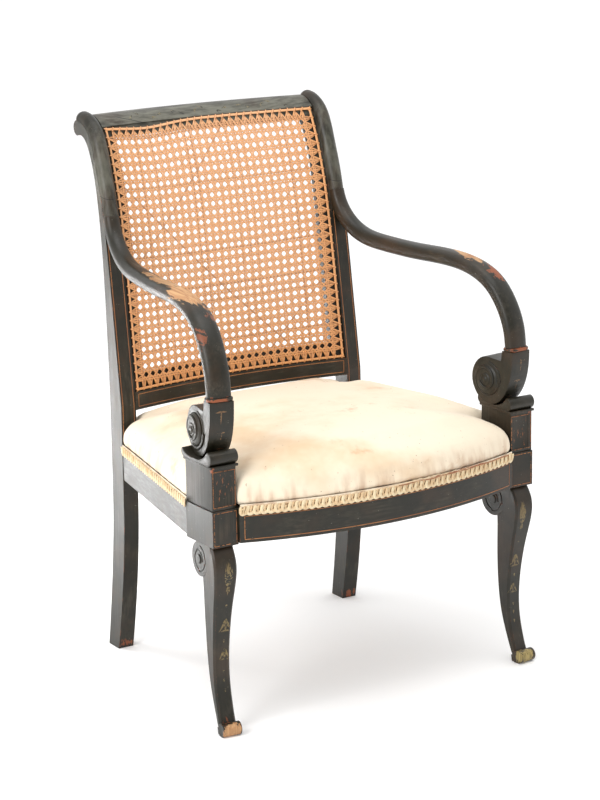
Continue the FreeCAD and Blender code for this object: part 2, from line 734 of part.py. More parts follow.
def front_tenon(side):
    """Tenon at one end of the front rail, square to the corner block's face."""
    y = FRONT_RAIL_END_Y + 0.57 * RAIL_THICKNESS
    x0 = BLOCK_INNER_X - TENON_ROOT
    x1 = BLOCK_INNER_X + RAIL_TENON_LENGTH
    low = RAIL_BOTTOM_Z + RAIL_TENON_SHOULDER
    high = RAIL_TOP_Z - RAIL_TENON_SHOULDER
    made = rail_tenon(x0, x1, y, low, high)
    return made if side > 0 else mirrored(made)


def side_rail_corners():
    """Plan of the right side rail: outer back, outer front, inner front, inner back."""
    back_x = post_outer_x(RAIL_TOP_Z) - RAIL_SIDE_INSET
    front_x = BLOCK_OUTER_X - RAIL_BLOCK_STEP
    a = V(back_x, POST_FRONT_Y, 0)
    b = V(front_x, BLOCK_BACK_Y, 0)
    along = (b - a).normalize()
    across = V(along.y, -along.x, 0) * RAIL_THICKNESS
    if across.x > 0:
        across = across * -1
    slope = along.x / along.y
    inner_back = V(a.x + across.x - slope * across.y, POST_FRONT_Y, 0)
    inner_front = V(b.x + across.x - slope * across.y, BLOCK_BACK_Y, 0)
    return a, b, inner_front, inner_back


def make_side_rail():
    a, b, c, d = side_rail_corners()
    lift = V(0, 0, RAIL_BOTTOM_Z)
    face = Part.Face(Part.makePolygon([p + lift for p in (a, b, c, d, a)]))
    rail = face.extrude(V(0, 0, RAIL_HEIGHT))
    return rail.fuse(side_tenons()).removeSplitter()


def side_tenons():
    """Tenons at both ends of the right side rail, parallel to Y."""
    a, b, c, d = side_rail_corners()
    low = RAIL_BOTTOM_Z + RAIL_TENON_SHOULDER
    high = RAIL_TOP_Z - RAIL_TENON_SHOULDER
    half = RAIL_TENON_THICKNESS / 2
    back_x = (a.x + post_inner_x(RAIL_TOP_Z)) / 2
    front_x = (b.x + c.x) / 2
    length = RAIL_TENON_LENGTH
    return [
        box(back_x - half, back_x + half, POST_FRONT_Y - TENON_ROOT, POST_FRONT_Y + length, low, high),
        box(front_x - half, front_x + half, BLOCK_BACK_Y - length, BLOCK_BACK_Y + TENON_ROOT, low, high),
    ]


def make_back_seat_rail():
    y0 = BACK_RAIL_FRONT_Y
    y1 = y0 + POST_DEPTH - 2 * BACK_RAIL_SETBACK
    far = post_inner_x(0) + OVERCUT
    rail = box(-far, far, y0, y1, RAIL_BOTTOM_Z, RAIL_TOP_Z).common(between_posts(0))
    tenons = box(-far, far, 0, RAIL_TENON_THICKNESS, 0, RAIL_HEIGHT - 2 * RAIL_TENON_SHOULDER)
    tenons.translate(V(0, back_tenon_y(), RAIL_BOTTOM_Z + RAIL_TENON_SHOULDER))
    reach = back_tenon_reach()
    tenons = tenons.common(box(-reach, reach, 0, OVERALL_HEIGHT, 0, OVERALL_HEIGHT))
    return rail.fuse(tenons).removeSplitter(), tenons


def back_tenon_y():
    return POST_FRONT_Y + BACK_TENON_SETBACK


def back_tenon_reach():
    return post_inner_x(RAIL_TOP_Z) + 0.3 * POST_WIDTH


def slab_prism(points, z0, z1):
    """Upright prism on a plan of points, from z0 to z1."""
    base = [V(p.x, p.y, z0) for p in points]
    return Part.Face(Part.makePolygon(base + base[:1])).extrude(V(0, 0, z1 - z0))


def side_inner_x(y):
    """Inner face of the right side rail at depth y."""
    _, _, c, d = side_rail_corners()
    return d.x + (c.x - d.x) * (y - d.y) / (c.y - d.y)


def brace_levels():
    high = RAIL_TOP_Z - BRACE_DROP
    return high - BRACE_HEIGHT, high


def make_front_brace():
    """Corner block between the front rail, the right side rail and the leg's block."""
    z0, z1 = brace_levels()
    tip_y = BLOCK_BACK_Y + BRACE_LEG
    tip_x = BLOCK_INNER_X - BRACE_LEG
    plan = [
        V(side_inner_x(BLOCK_BACK_Y), BLOCK_BACK_Y, 0),
        V(side_inner_x(tip_y), tip_y, 0),
        V(tip_x, FRONT_RAIL_END_Y, 0),
        V(BLOCK_INNER_X, FRONT_RAIL_END_Y, 0),
        V(BLOCK_INNER_X, BLOCK_BACK_Y, 0),
    ]
    radius = front_rail_radius()
    axis_y = FRONT_RAIL_END_Y - FRONT_BOW + radius
    room = Part.makeCylinder(radius - RAIL_THICKNESS - GAP, RAIL_HEIGHT, V(0, axis_y, RAIL_BOTTOM_Z))
    return slab_prism(plan, z0, z1).common(room)


def make_back_brace():
    """Corner block between the back seat rail and the right side rail."""
    z0, z1 = brace_levels()
    tip_y = POST_FRONT_Y - BRACE_LEG
    corner_x = side_inner_x(POST_FRONT_Y)
    plan = [
        V(corner_x, POST_FRONT_Y, 0),
        V(side_inner_x(tip_y), tip_y, 0),
        V(corner_x - BRACE_LEG, BACK_RAIL_FRONT_Y, 0),
        V(corner_x, BACK_RAIL_FRONT_Y, 0),
    ]
    return slab_prism(plan, z0, z1)


def brace_screw_lines():
    """Head centre and direction of the two screws in each right-hand brace."""
    z0, z1 = brace_levels()
    z = (z0 + z1) / 2
    front_y = BLOCK_BACK_Y + 0.55 * BRACE_LEG
    back_y_line = POST_FRONT_Y - 0.55 * BRACE_LEG
    front_x = BLOCK_INNER_X - 0.55 * BRACE_LEG
    back_x = side_inner_x(POST_FRONT_Y) - 0.55 * BRACE_LEG
    reach = 0.25 * SCREW_LENGTH
    return [
        (V(side_inner_x(front_y) - reach, front_y, z), V(1, 0, 0)),
        (V(side_inner_x(back_y_line) - reach, back_y_line, z), V(1, 0, 0)),
        (V(front_x, FRONT_RAIL_END_Y + RAIL_THICKNESS + reach, z), V(0, -1, 0)),
        (V(back_x, BACK_RAIL_FRONT_Y - reach, z), V(0, 1, 0)),
    ]


def screw(head, way, clearance):
    """Wood screw with a flat head, or its hole and the way in for the driver."""
    shank = Part.makeCylinder(SCREW_RADIUS + clearance, SCREW_LENGTH * 0.7 + clearance, head, way)
    depth = SCREW_HEAD_RADIUS * 0.6
    start = head - way * (BRACE_LEG if clearance else 0)
    length = depth + clearance + (BRACE_LEG if clearance else 0)
    top = Part.makeCylinder(SCREW_HEAD_RADIUS + clearance, length, start, way)
    return fused(shank, top)


def seat_plan(inset, pull=1.0):
    """Outline of the seat on the rails as edges, drawn in by inset and scaled by pull."""
    a, b, _, _ = side_rail_corners()
    back = BACK_RAIL_FRONT_Y + POST_DEPTH - 2 * BACK_RAIL_SETBACK - inset
    waist = post_inner_x(RAIL_TOP_Z) - GAP - inset
    front = FRONT_RAIL_END_Y + inset
    right = [
        V(waist, back, 0),
        V(waist, POST_FRONT_Y - GAP - inset, 0),
        V(a.x - inset, POST_FRONT_Y - GAP - inset, 0),
        V(b.x - inset, BLOCK_BACK_Y + GAP + inset, 0),
        V(BLOCK_INNER_X - GAP - inset, BLOCK_BACK_Y + GAP + inset, 0),
        V(BLOCK_INNER_X - GAP - inset, front, 0),
    ]
    left = [V(-p.x, p.y, 0) for p in right[::-1]]
    nose = V(0, front - FRONT_BOW, 0)
    middle_y = (back + front - FRONT_BOW) / 2

    def drawn(p):
        return V(p.x * pull, middle_y + (p.y - middle_y) * pull, 0)

    right = [drawn(p) for p in right]
    left = [drawn(p) for p in left]
    edges = [line(p, q) for p, q in zip(right, right[1:])]
    edges.append(arc(right[-1], drawn(nose), left[0]))
    edges += [line(p, q) for p, q in zip(left, left[1:])]
    edges.append(line(left[-1], right[0]))
    return edges


def web_levels():
    low = RAIL_TOP_Z
    return low, low + WEB_THICKNESS, low + 2 * WEB_THICKNESS, low + 2 * WEB_THICKNESS + HESSIAN_THICKNESS


def seat_sheet(inset, z0, z1):
    face = Part.Face(Part.Wire(seat_plan(inset)))
    face.translate(V(0, 0, z0))
    return face.extrude(V(0, 0, z1 - z0))


def make_webbing():
    """Webs from side to side, and webs from front to back laid over them."""
    z0, z1, z2, _ = web_levels()
    inset = RAIL_THICKNESS / 4
    half = WEB_WIDTH / 2
    far = OVERALL_HEIGHT
    across = [box(-far, far, y - half, y + half, z0, z1) for y in web_rows()]
    along = [box(x - half, x + half, -far, far, z1, z2) for x in web_columns()]
    low = seat_sheet(inset, z0, z1).common(Part.makeCompound(across))
    high = seat_sheet(inset, z1, z2).common(Part.makeCompound(along))
    return low, high


def web_rows():
    first = BLOCK_BACK_Y + WEB_WIDTH / 2 + WEB_CLEAR
    last = POST_FRONT_Y - WEB_WIDTH / 2 - WEB_CLEAR
    return [first + (last - first) * i / 3 for i in range(4)]


def web_columns():
    reach = BLOCK_INNER_X * 0.64
    return [-reach + 2 * reach * i / 3 for i in range(4)]


def make_pad():
    """Stuffed seat under its cover: sides that swell out, then draw in to a crown."""
    _, _, _, base = web_levels()
    side = PAD_EDGE_HEIGHT
    crown = PAD_CROWN
    levels = [
        (0.0, 0.998), (0.3 * side, 1.005), (0.7 * side, 1.007), (side, 1.001),
        (side + 0.3 * crown, 0.972), (side + 0.53 * crown, 0.918), (side + 0.72 * crown, 0.83),
        (side + 0.86 * crown, 0.69), (side + 0.95 * crown, 0.49), (side + crown, 0.18),
    ]
    wires = []
    for height, pull in levels:
        wire = Part.Wire(seat_plan(PAD_INSET, pull))
        wire.translate(V(0, 0, base + height))
        wires.append(wire)
    return Part.makeLoft(wires, True, False, False, 3)


def make_gimp():
    """Braid that hides the tacked edge of the cover, one strip on each rail."""
    z1 = RAIL_TOP_Z + 0.25 * GIMP_HEIGHT
    z0 = z1 - GIMP_HEIGHT
    radius = front_rail_radius()
    axis = V(0, FRONT_RAIL_END_Y - FRONT_BOW + radius, z0)
    outer = Part.makeCylinder(radius + GAP + GIMP_THICKNESS, GIMP_HEIGHT, axis)
    inner = Part.makeCylinder(radius + GAP, GIMP_HEIGHT, axis)
    reach = BLOCK_INNER_X - GAP
    near = box(-reach, reach, -OVERALL_HEIGHT, FRONT_RAIL_END_Y + 2 * OVERCUT, z0, z1)
    front = outer.cut(inner).common(near)
    a, b, _, _ = side_rail_corners()
    out = V(b.y - a.y, a.x - b.x, 0).normalize()
    if out.x < 0:
        out = out * -1
    out = out * GIMP_THICKNESS
    side = slab_prism([a, b + V(0, GAP, 0), b + out, a + out], z0, z1)
    keep = box(0, OVERALL_HEIGHT, BLOCK_BACK_Y + FILLET_PROUD + GAP, POST_FRONT_Y - GAP, z0, z1)
    back_line = BACK_RAIL_FRONT_Y + POST_DEPTH - 2 * BACK_RAIL_SETBACK
    half = post_inner_x(RAIL_TOP_Z) - 3 * GAP
    back = box(-half, half, back_line, back_line + GIMP_THICKNESS, z0, z1)
    return front, side.common(keep), back


def tack_places():
    """Tack positions on the rail tops: two at each end of every web."""
    quarter = WEB_WIDTH / 4
    places = []
    for y in web_rows():
        for dy in (-quarter, quarter):
            x = side_inner_x(y + dy) + RAIL_THICKNESS * 0.45
            places += [(x, y + dy, 0), (-x, y + dy, 0)]
    radius = front_rail_radius()
    axis_y = FRONT_RAIL_END_Y - FRONT_BOW + radius
    ring = radius - RAIL_THICKNESS / 2
    back = BACK_RAIL_FRONT_Y + POST_DEPTH / 2 - BACK_RAIL_SETBACK
    for x in web_columns():
        for dx in (-quarter, quarter):
            u = x + dx
            places += [(u, axis_y - math.sqrt(ring ** 2 - u ** 2), 1), (u, back, 1)]
    return places


def tack(place, clearance):
    """Tack through a web into the rail, its flat head let into the web."""
    x, y, level = place
    top = web_levels()[1 + level]
    shank = Part.makeCylinder(TACK_RADIUS / 2 + clearance, TACK_LENGTH + clearance,
                              V(x, y, top - TACK_LENGTH - clearance))
    head = Part.makeCylinder(TACK_RADIUS + clearance, TACK_HEAD, V(x, y, top - TACK_HEAD))
    return fused(shank, head)


def make_dowels():
    """Dowel of each scroll and of each corner block, on the right side."""
    _, cy, cz = scroll_outline()
    angle = math.radians(ARM_SPLAY_DEG)
    x = ARM_PLANE_X - cy * math.sin(angle)
    y = cy * math.cos(angle)
    low = FILLET_TOP_Z - DOWEL_DOWN
    high = FILLET_TOP_Z + DOWEL_UP
    mid_y = (BLOCK_FRONT_Y + BLOCK_BACK_Y) / 2
    reach = BLOCK_DOWEL_REACH
    places = [
        (x, y, low, high),
        (BLOCK_CENTRE_X, mid_y - BLOCK_DOWEL_SETOFF, RAIL_TOP_Z - reach, RAIL_TOP_Z + reach),
    ]
    made = [[], []]
    for i, clearance in enumerate((0.0, GAP)):
        for px, py, z0, z1 in places:
            height = z1 - z0 + 2 * clearance
            made[i].append(Part.makeCylinder(DOWEL_RADIUS + clearance, height, V(px, py, z0 - clearance)))
    return made


def save(shapes):
    """Centre the chair on the origin and write one STEP file for each node."""
    whole = Part.makeCompound(list(shapes.values())).optimalBoundingBox(False, False)
    shift = V(0, -(whole.YMin + whole.YMax) / 2, 0)
    os.makedirs("parts", exist_ok=True)
    for name, shape in shapes.items():
        out = shape.copy()
        out.translate(shift)
        out.exportStep("parts/" + name + ".step")
        bad = "" if out.isValid() else "  NOT VALID"
        print(name, len(out.Solids), "solids", round(out.Volume / 1000, 1), "cm3" + bad)
    print("moved in y by", round(shift.y, 3), "size", whole.XLength, whole.YLength, whole.ZLength)


def drilled(shape, tools):
    return shape.cut(Part.makeCompound(tools))


def build():
    shapes = {}
    post, root, tangent = make_posts()
    crest, lower = make_back_rails()
    back_rail, back_tenons = make_back_seat_rail()
    screws = [screw(head, way, 0.0) for head, way in brace_screw_lines()]
    screw_holes = [screw(head, way, GAP) for head, way in brace_screw_lines()]
    tacks = [tack(place, 0.0) for place in tack_places()]
    tack_holes = [tack(place, GAP) for place in tack_places()]
    dowels, dowel_holes = make_dowels()
    drill = screw_holes + tack_holes
    both_drill = drill + [mirrored(hole) for hole in screw_holes]

    shapes["arm_right"] = make_arm(root, tangent, post)
    shapes["post_right"] = post.cut(Part.makeCompound(side_tenons() + [back_tenons]))
    shapes["arm_ring_right"] = make_ring()
    shapes["arm_scroll_right"] = drilled(make_arm_scroll()[0], dowel_holes)
    shapes["saddle_right"] = drilled(make_saddle(), dowel_holes)
    shapes["arm_block_right"] = drilled(make_upper_block(), dowel_holes)
    mortises = side_tenons() + [front_tenon(1)] + dowel_holes
    shapes["front_leg_right"] = make_front_leg().cut(Part.makeCompound(mortises))
    shapes["side_rail_right"] = drilled(make_side_rail(), drill)
    shapes["corner_brace_front_right"] = drilled(make_front_brace(), screw_holes)
    shapes["corner_brace_back_right"] = drilled(make_back_brace(), screw_holes)
    front_gimp, side_gimp, back_gimp = make_gimp()
    shapes["gimp_right"] = side_gimp
    for name in list(shapes):
        shapes[name.replace("_right", "_left")] = mirrored(shapes[name])

    shapes["crest_rail"] = crest
    shapes["lower_back_rail"] = lower
    panel, low, high, left, right = make_cane()
    shapes["cane_panel"] = panel
    shapes["cane_binder_bottom"] = low
    shapes["cane_binder_top"] = high
    shapes["cane_binder_left"] = left
    shapes["cane_binder_right"] = right
    shapes["front_rail"] = drilled(make_front_rail(), both_drill)
    shapes["back_seat_rail"] = drilled(back_rail, both_drill)
    across, along = make_webbing()
    shapes["webbing_across"] = drilled(across, tack_holes)
    shapes["webbing_along"] = drilled(along, tack_holes)
    shapes["hessian"] = seat_sheet(RAIL_THICKNESS / 4, web_levels()[2], web_levels()[3])
    shapes["seat_pad"] = make_pad()
    shapes["gimp_front"] = front_gimp
    shapes["gimp_back"] = back_gimp
    shapes["brace_screws"] = Part.makeCompound(screws + [mirrored(s) for s in screws])
    shapes["web_tacks"] = Part.makeCompound(tacks)
    shapes["dowels"] = Part.makeCompound(dowels + [mirrored(d) for d in dowels])
    save(shapes)


build()
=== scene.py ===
"""Looks of an ebonised armchair with a cane back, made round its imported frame.

Lengths are metres, the front is -Y and up is +Z. The floor is z = 0.
"""
import math

import bmesh
import bpy
import numpy as np
from bpy.props import FloatProperty, FloatVectorProperty, IntProperty, PointerProperty
from mathutils import Matrix, Vector, noise
from mathutils.bvhtree import BVHTree


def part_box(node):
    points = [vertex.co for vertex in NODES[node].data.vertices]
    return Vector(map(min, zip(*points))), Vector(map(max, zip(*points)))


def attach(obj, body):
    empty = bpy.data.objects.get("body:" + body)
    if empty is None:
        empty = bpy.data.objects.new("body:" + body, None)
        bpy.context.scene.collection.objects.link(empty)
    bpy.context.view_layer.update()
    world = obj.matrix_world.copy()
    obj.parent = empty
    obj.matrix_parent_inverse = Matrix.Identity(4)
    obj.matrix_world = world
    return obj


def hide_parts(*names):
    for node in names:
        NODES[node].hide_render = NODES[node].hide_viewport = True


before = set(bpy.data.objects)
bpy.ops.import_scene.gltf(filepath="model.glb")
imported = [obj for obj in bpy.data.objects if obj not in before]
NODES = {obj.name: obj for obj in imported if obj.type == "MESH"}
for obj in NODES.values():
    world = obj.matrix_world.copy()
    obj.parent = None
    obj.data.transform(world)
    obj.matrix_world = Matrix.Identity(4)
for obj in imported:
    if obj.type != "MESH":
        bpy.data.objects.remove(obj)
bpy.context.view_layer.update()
MM = 0.001
SIDES = (("left", -1), ("right", 1))

bl_info = {
    "name": "Cane-back armchair",
    "version": (1, 0, 0),
    "blender": (4, 5, 0),
    "location": "3D View > Sidebar > Chair",
    "description": "Ebonised and gilt wood, woven cane, a stuffed seat and its braid, on the packed frame",
    "category": "Object",
}


def tint(red, green, blue):
    """Linear colour from 0 to 255 display values."""
    out = []
    for value in (red, green, blue):
        c = value / 255
        out.append(c / 12.92 if c <= 0.04045 else ((c + 0.055) / 1.055) ** 2.4)
    return tuple(out)


def colour(name, description, display):
    return FloatVectorProperty(
        name=name, description=description, default=tint(*display), subtype="COLOR", min=0, max=1
    )


def length(name, description, millimetres):
    return FloatProperty(name=name, description=description, default=millimetres * MM, unit="LENGTH", precision=5)


def amount(name, description, value):
    return FloatProperty(name=name, description=description, default=value)


class PaintSettings(bpy.types.PropertyGroup):
    """Ebonised paint, the wood under it and the gilding on it."""
    black: colour("Black", "Body colour of the paint", (27, 25, 15))
    haze: colour("Haze", "Greyed, rubbed paint", (92, 84, 70))
    worn: colour("Worn edge", "Red ground that shows along rubbed edges", (150, 80, 45))
    bare: colour("Bare wood", "Wood worn free of paint", (200, 158, 112))
    gilt: colour("Gilding", "Old gilt lines", (176, 116, 66))
    olive: colour("Old gold", "Darkened gold of the painted leaves", (128, 110, 68))
    edge_radius: length("Edge radius", "How wide the rubbed edges are", 1.3)
    line_width: length("Line width", "Width of a gilt line", 1.2)
    inner_wood: colour("Frame wood", "Unpainted beech inside the seat", (206, 170, 122))
    brass: colour("Brass", "Screws", (176, 140, 74))
    steel: colour("Steel", "Tacks", (96, 94, 92))


class CaneSettings(bpy.types.PropertyGroup):
    """Woven cane panel."""
    columns: IntProperty(name="Columns", description="Hole spaces across the panel", default=29, min=4)
    rows: IntProperty(name="Rows", description="Hole spaces up the panel", default=30, min=4)
    side_inset: length("Side inset", "Hole row from the post", 5.5)
    end_inset: length("End inset", "Hole row from the panel's top and bottom edge", 3.0)
    pair_gap: length("Pair gap", "Middle to middle of a pair of strands", 2.8)
    row_gap: length("Row gap", "Middle to middle of a pair of strands that runs across", 3.2)
    strand_width: length("Strand width", "Width of a strand that runs up", 2.75)
    row_width: length("Row width", "Width of a strand that runs across", 3.15)
    diagonal_width: length("Diagonal width", "Width of a diagonal strand", 2.9)
    strand_thickness: length("Strand thickness", "Thickness of a strand", 0.55)
    sag: length("Sag", "How far the middle rows have sunk", 6.0)
    top_dip: length("Top dip", "How far the top edge hangs under the crack", 6.0)
    light: colour("Light cane", "Cane in the upper part", (234, 178, 130))
    deep: colour("Deep cane", "Cane along the borders", (224, 156, 92))
    binder_width: length("Binder width", "Width of the strip over the holes", 4.2)


class SeatSettings(bpy.types.PropertyGroup):
    """Stuffed seat and its cover."""
    cloth: colour("Cloth", "Ivory cover", (240, 225, 201))
    stain: colour("Stain", "Old marks on the cover", (216, 180, 136))
    voxel: length("Voxel", "Size of the simulated mesh's faces", 6.0)
    pressure: amount("Pressure", "Air pressure inside the pad", 4.0)
    cap: length("Cap", "Furthest that a point of the cover may move", 6.0)
    pucker: length("Pucker", "Depth of the gathers above the braid", 0.4)
    roll: length("Roll", "How far the sides swell out over the rails", 3.0)
    roll_height: length("Roll height", "Height of the swollen sides", 58.0)
    jute: colour("Jute", "Webbing", (170, 128, 84))
    hessian: colour("Hessian", "Base cloth", (190, 156, 108))


class BraidSettings(bpy.types.PropertyGroup):
    """Looped braid along the tacked edge."""
    pitch: length("Pitch", "Length of one loop", 10.3)
    height: length("Height", "Height of the braid", 13.0)
    cord: length("Cord", "Thickness of the looped cord", 2.5)
    pale: colour("Pale thread", "Lit thread", (230, 212, 176))
    gold: colour("Gold thread", "Shaded thread", (200, 150, 96))


class StudioSettings(bpy.types.PropertyGroup):
    """Camera, floor and lights."""
    camera_place: FloatVectorProperty(
        name="Camera", description="Place of the camera", default=(-1.93434, -3.11612, 1.34478), subtype="TRANSLATION"
    )
    turn: FloatProperty(name="Turn", description="Turn to the right", default=0.5593, subtype="ANGLE")
    tilt: FloatProperty(name="Tilt", description="Look down", default=0.2492, subtype="ANGLE")
    roll: FloatProperty(name="Roll", description="Roll of the camera", default=-0.0182, subtype="ANGLE")
    lens: amount("Lens", "Focal length in millimetres on a 36 mm sensor", 109.914)
    front_glow: amount("Front glow", "Brightness of the room behind the camera", 0.5)
    back_glow: amount("Back glow", "Brightness of the room behind the chair", 1.2)
    floor: colour("Floor", "Pale floor", (251, 251, 251))


# Node trees


class Tree:
    """A node tree, with short ways to add nodes and join their sockets."""

    def __init__(self, tree):
        self.tree = tree

    def add(self, kind, inputs=None, **settings):
        node = self.tree.nodes.new(kind)
        for key, value in settings.items():
            setattr(node, key, value)
        for key, value in (inputs or {}).items():
            self.join(value, node.inputs[key])
        return node

    def join(self, value, socket):
        if isinstance(value, bpy.types.NodeSocket):
            self.tree.links.new(value, socket)
        else:
            socket.default_value = value

    def math(self, operation, a, b=0.0, clamp=False):
        return self.add("ShaderNodeMath", {0: a, 1: b}, operation=operation, use_clamp=clamp).outputs[0]

    def times(self, a, b):
        return self.math("MULTIPLY", a, b)

    def plus(self, a, b):
        return self.math("ADD", a, b)

    def less(self, a, b):
        return self.math("SUBTRACT", a, b)

    def dot(self, a, b):
        return self.add("ShaderNodeVectorMath", {0: a, 1: b}, operation="DOT_PRODUCT").outputs["Value"]

    def vector(self, **parts):
        return self.add("ShaderNodeCombineXYZ", parts).outputs[0]

    def named(self, name):
        """Vector attribute of the points in a geometry tree."""
        return self.add("GeometryNodeInputNamedAttribute", {"Name": name}, data_type="FLOAT_VECTOR").outputs[0]

    def spread(self, value, low, high, to_low=0.0, to_high=1.0):
        """Map low..high to to_low..to_high, softly, with nothing outside."""
        node = self.add(
            "ShaderNodeMapRange",
            {"Value": value, "From Min": low, "From Max": high, "To Min": to_low, "To Max": to_high},
            interpolation_type="SMOOTHSTEP",
        )
        return node.outputs["Result"]


class Finish(Tree):
    """One material: a principled surface whose base colour is laid on coat by coat."""

    def __init__(self, name, base, roughness=0.5):
        self.material = bpy.data.materials.new(name)
        self.material.use_nodes = True
        super().__init__(self.material.node_tree)
        self.tree.nodes.clear()
        out = self.add("ShaderNodeOutputMaterial")
        self.shader = self.add("ShaderNodeBsdfPrincipled", {"Roughness": roughness})
        self.join(self.shader.outputs[0], out.inputs[0])
        self.coords = self.add("ShaderNodeTexCoord").outputs["Object"]
        self.base = base

    def set(self, socket, value):
        self.join(value, self.shader.inputs[socket])

    def stretched(self, scale, factor=1.0):
        """Object coordinates scaled along each axis."""
        return self.add("ShaderNodeMapping", {"Vector": self.coords, "Scale": scaled(scale, factor)}).outputs[0]

    def noise(self, scale, detail=3.0, vector=None, roughness=0.5):
        node = self.add(
            "ShaderNodeTexNoise",
            {"Vector": vector or self.coords, "Scale": scale, "Detail": detail, "Roughness": roughness},
        )
        return node.outputs["Fac"]

    def patches(self, scale, low, high, detail=3.0, roughness=0.5, vector=None):
        """Noise that is 0 below low and 1 above high."""
        return self.spread(self.noise(scale, detail, vector, roughness), low, high)

    def mix(self, share, a, b):
        node = self.add("ShaderNodeMix", {0: share}, data_type="RGBA", blend_type="MIX", clamp_factor=True)
        for value, socket in ((a, node.inputs[6]), (b, node.inputs[7])):
            self.join(value if isinstance(value, bpy.types.NodeSocket) else (*value, 1.0), socket)
        return node.outputs[2]

    def coat(self, share, hue, strength=None):
        """Lay a hue over the base colour where share says."""
        if strength is not None:
            share = self.times(share, strength)
        self.base = self.mix(share, self.base, hue)

    def bump(self, height, distance, strength, under=None):
        inputs = {"Height": height, "Distance": distance, "Strength": strength}
        if under is not None:
            inputs["Normal"] = under
        return self.add("ShaderNodeBump", inputs).outputs[0]

    def near(self, centre, radii):
        """1 at a centre given in millimetres, 0 past its radii."""
        place = [-c / r for c, r in zip(centre, radii)]
        scale = [1 / (r * MM) for r in radii]
        node = self.add("ShaderNodeMapping", {"Vector": self.coords, "Scale": scale, "Location": place})
        far = self.add("ShaderNodeVectorMath", {0: node.outputs[0]}, operation="LENGTH").outputs["Value"]
        return self.math("SUBTRACT", 1.0, far, clamp=True)

    def attribute(self, name, output="Fac"):
        return self.add("ShaderNodeAttribute", attribute_name=name).outputs[output]

    def normal(self):
        return self.add("ShaderNodeNewGeometry").outputs["Normal"]

    def done(self, height, distance, strength, under=None):
        """Set the base colour and the relief, and hand over the material."""
        self.set("Base Color", self.base)
        self.set("Normal", self.bump(height, distance, strength, under))
        return self.material


def scaled(numbers, factor):
    return [v * factor for v in numbers]


# How fine the paint's streaks and its rubs are along X, Y and Z, for wood that runs along each of them
GRAIN = {"X": (8, 260, 260), "Y": (260, 8, 260), "Z": (260, 260, 8)}
RUB_GRAIN = {"X": (34, 130, 130), "Y": (130, 34, 130), "Z": (130, 130, 34)}
# Kinds of rub: size of the grain, how much is covered, softness of the edge
RUBS = {
    "bare": (1.0, 0.62, 0.0),
    "olive": (1.0, 0.5, 0.0),
    "red": (1.2, 0.32, 0.0),
    # haze: greyed paint with a painted sheen, softer edged
    "haze": (0.8, 0.32, 0.22),
    "mark": (2.6, 0.14, 0.0),
}
# Shades that go with the colours in the settings
BROWN_FILM, PALE_SPECK, CRACK_BLACK = tint(74, 52, 34), tint(186, 180, 164), tint(12, 11, 9)
# GREYED_SHEEN is greyed paint with a painted sheen, laid by the haze rubs
BARE_SHADE, GREYED_SHEEN, RED_MARK = tint(158, 104, 64), tint(118, 117, 104), tint(138, 82, 48)
OLIVE_LIGHT, OLIVE_SHADE = tint(178, 158, 100), tint(112, 98, 56)
BEECH_SHADE, BEECH_FLECK = tint(168, 124, 80), tint(120, 84, 54)
GILT_SHADE, OLD_GOLD_SHADE = tint(146, 88, 50), tint(104, 86, 52)
CANE_TAN, CANE_SHADOW_BROWN = tint(210, 150, 98), tint(146, 100, 70)
CANE_RIM_SHADE, CANE_MARK = tint(150, 88, 52), tint(170, 104, 60)
BLOT, PUCKER_SHADE, COVER_SPECK = tint(200, 156, 112), tint(196, 164, 134), tint(140, 104, 74)
SPECK_SIZE = 480.0
WOVEN_FAR, WOVEN_NEAR = 1400, 60


def crack_line(f, centre, across, reach):
    """Mask of a thin, wandering crack: a point of it in mm, the way across it, and its reach in mm."""
    offset = -sum(c * MM * n for c, n in zip(centre, across))
    wander = f.times(f.less(f.noise(60.0, 2.0), 0.5), 1.2 * MM)
    gap = f.math("ABSOLUTE", f.plus(f.plus(f.dot(f.coords, across), offset), wander))
    return f.times(f.spread(gap, 0.6 * MM, 0.2 * MM), f.spread(f.near(centre, reach), 0.0, 0.25))


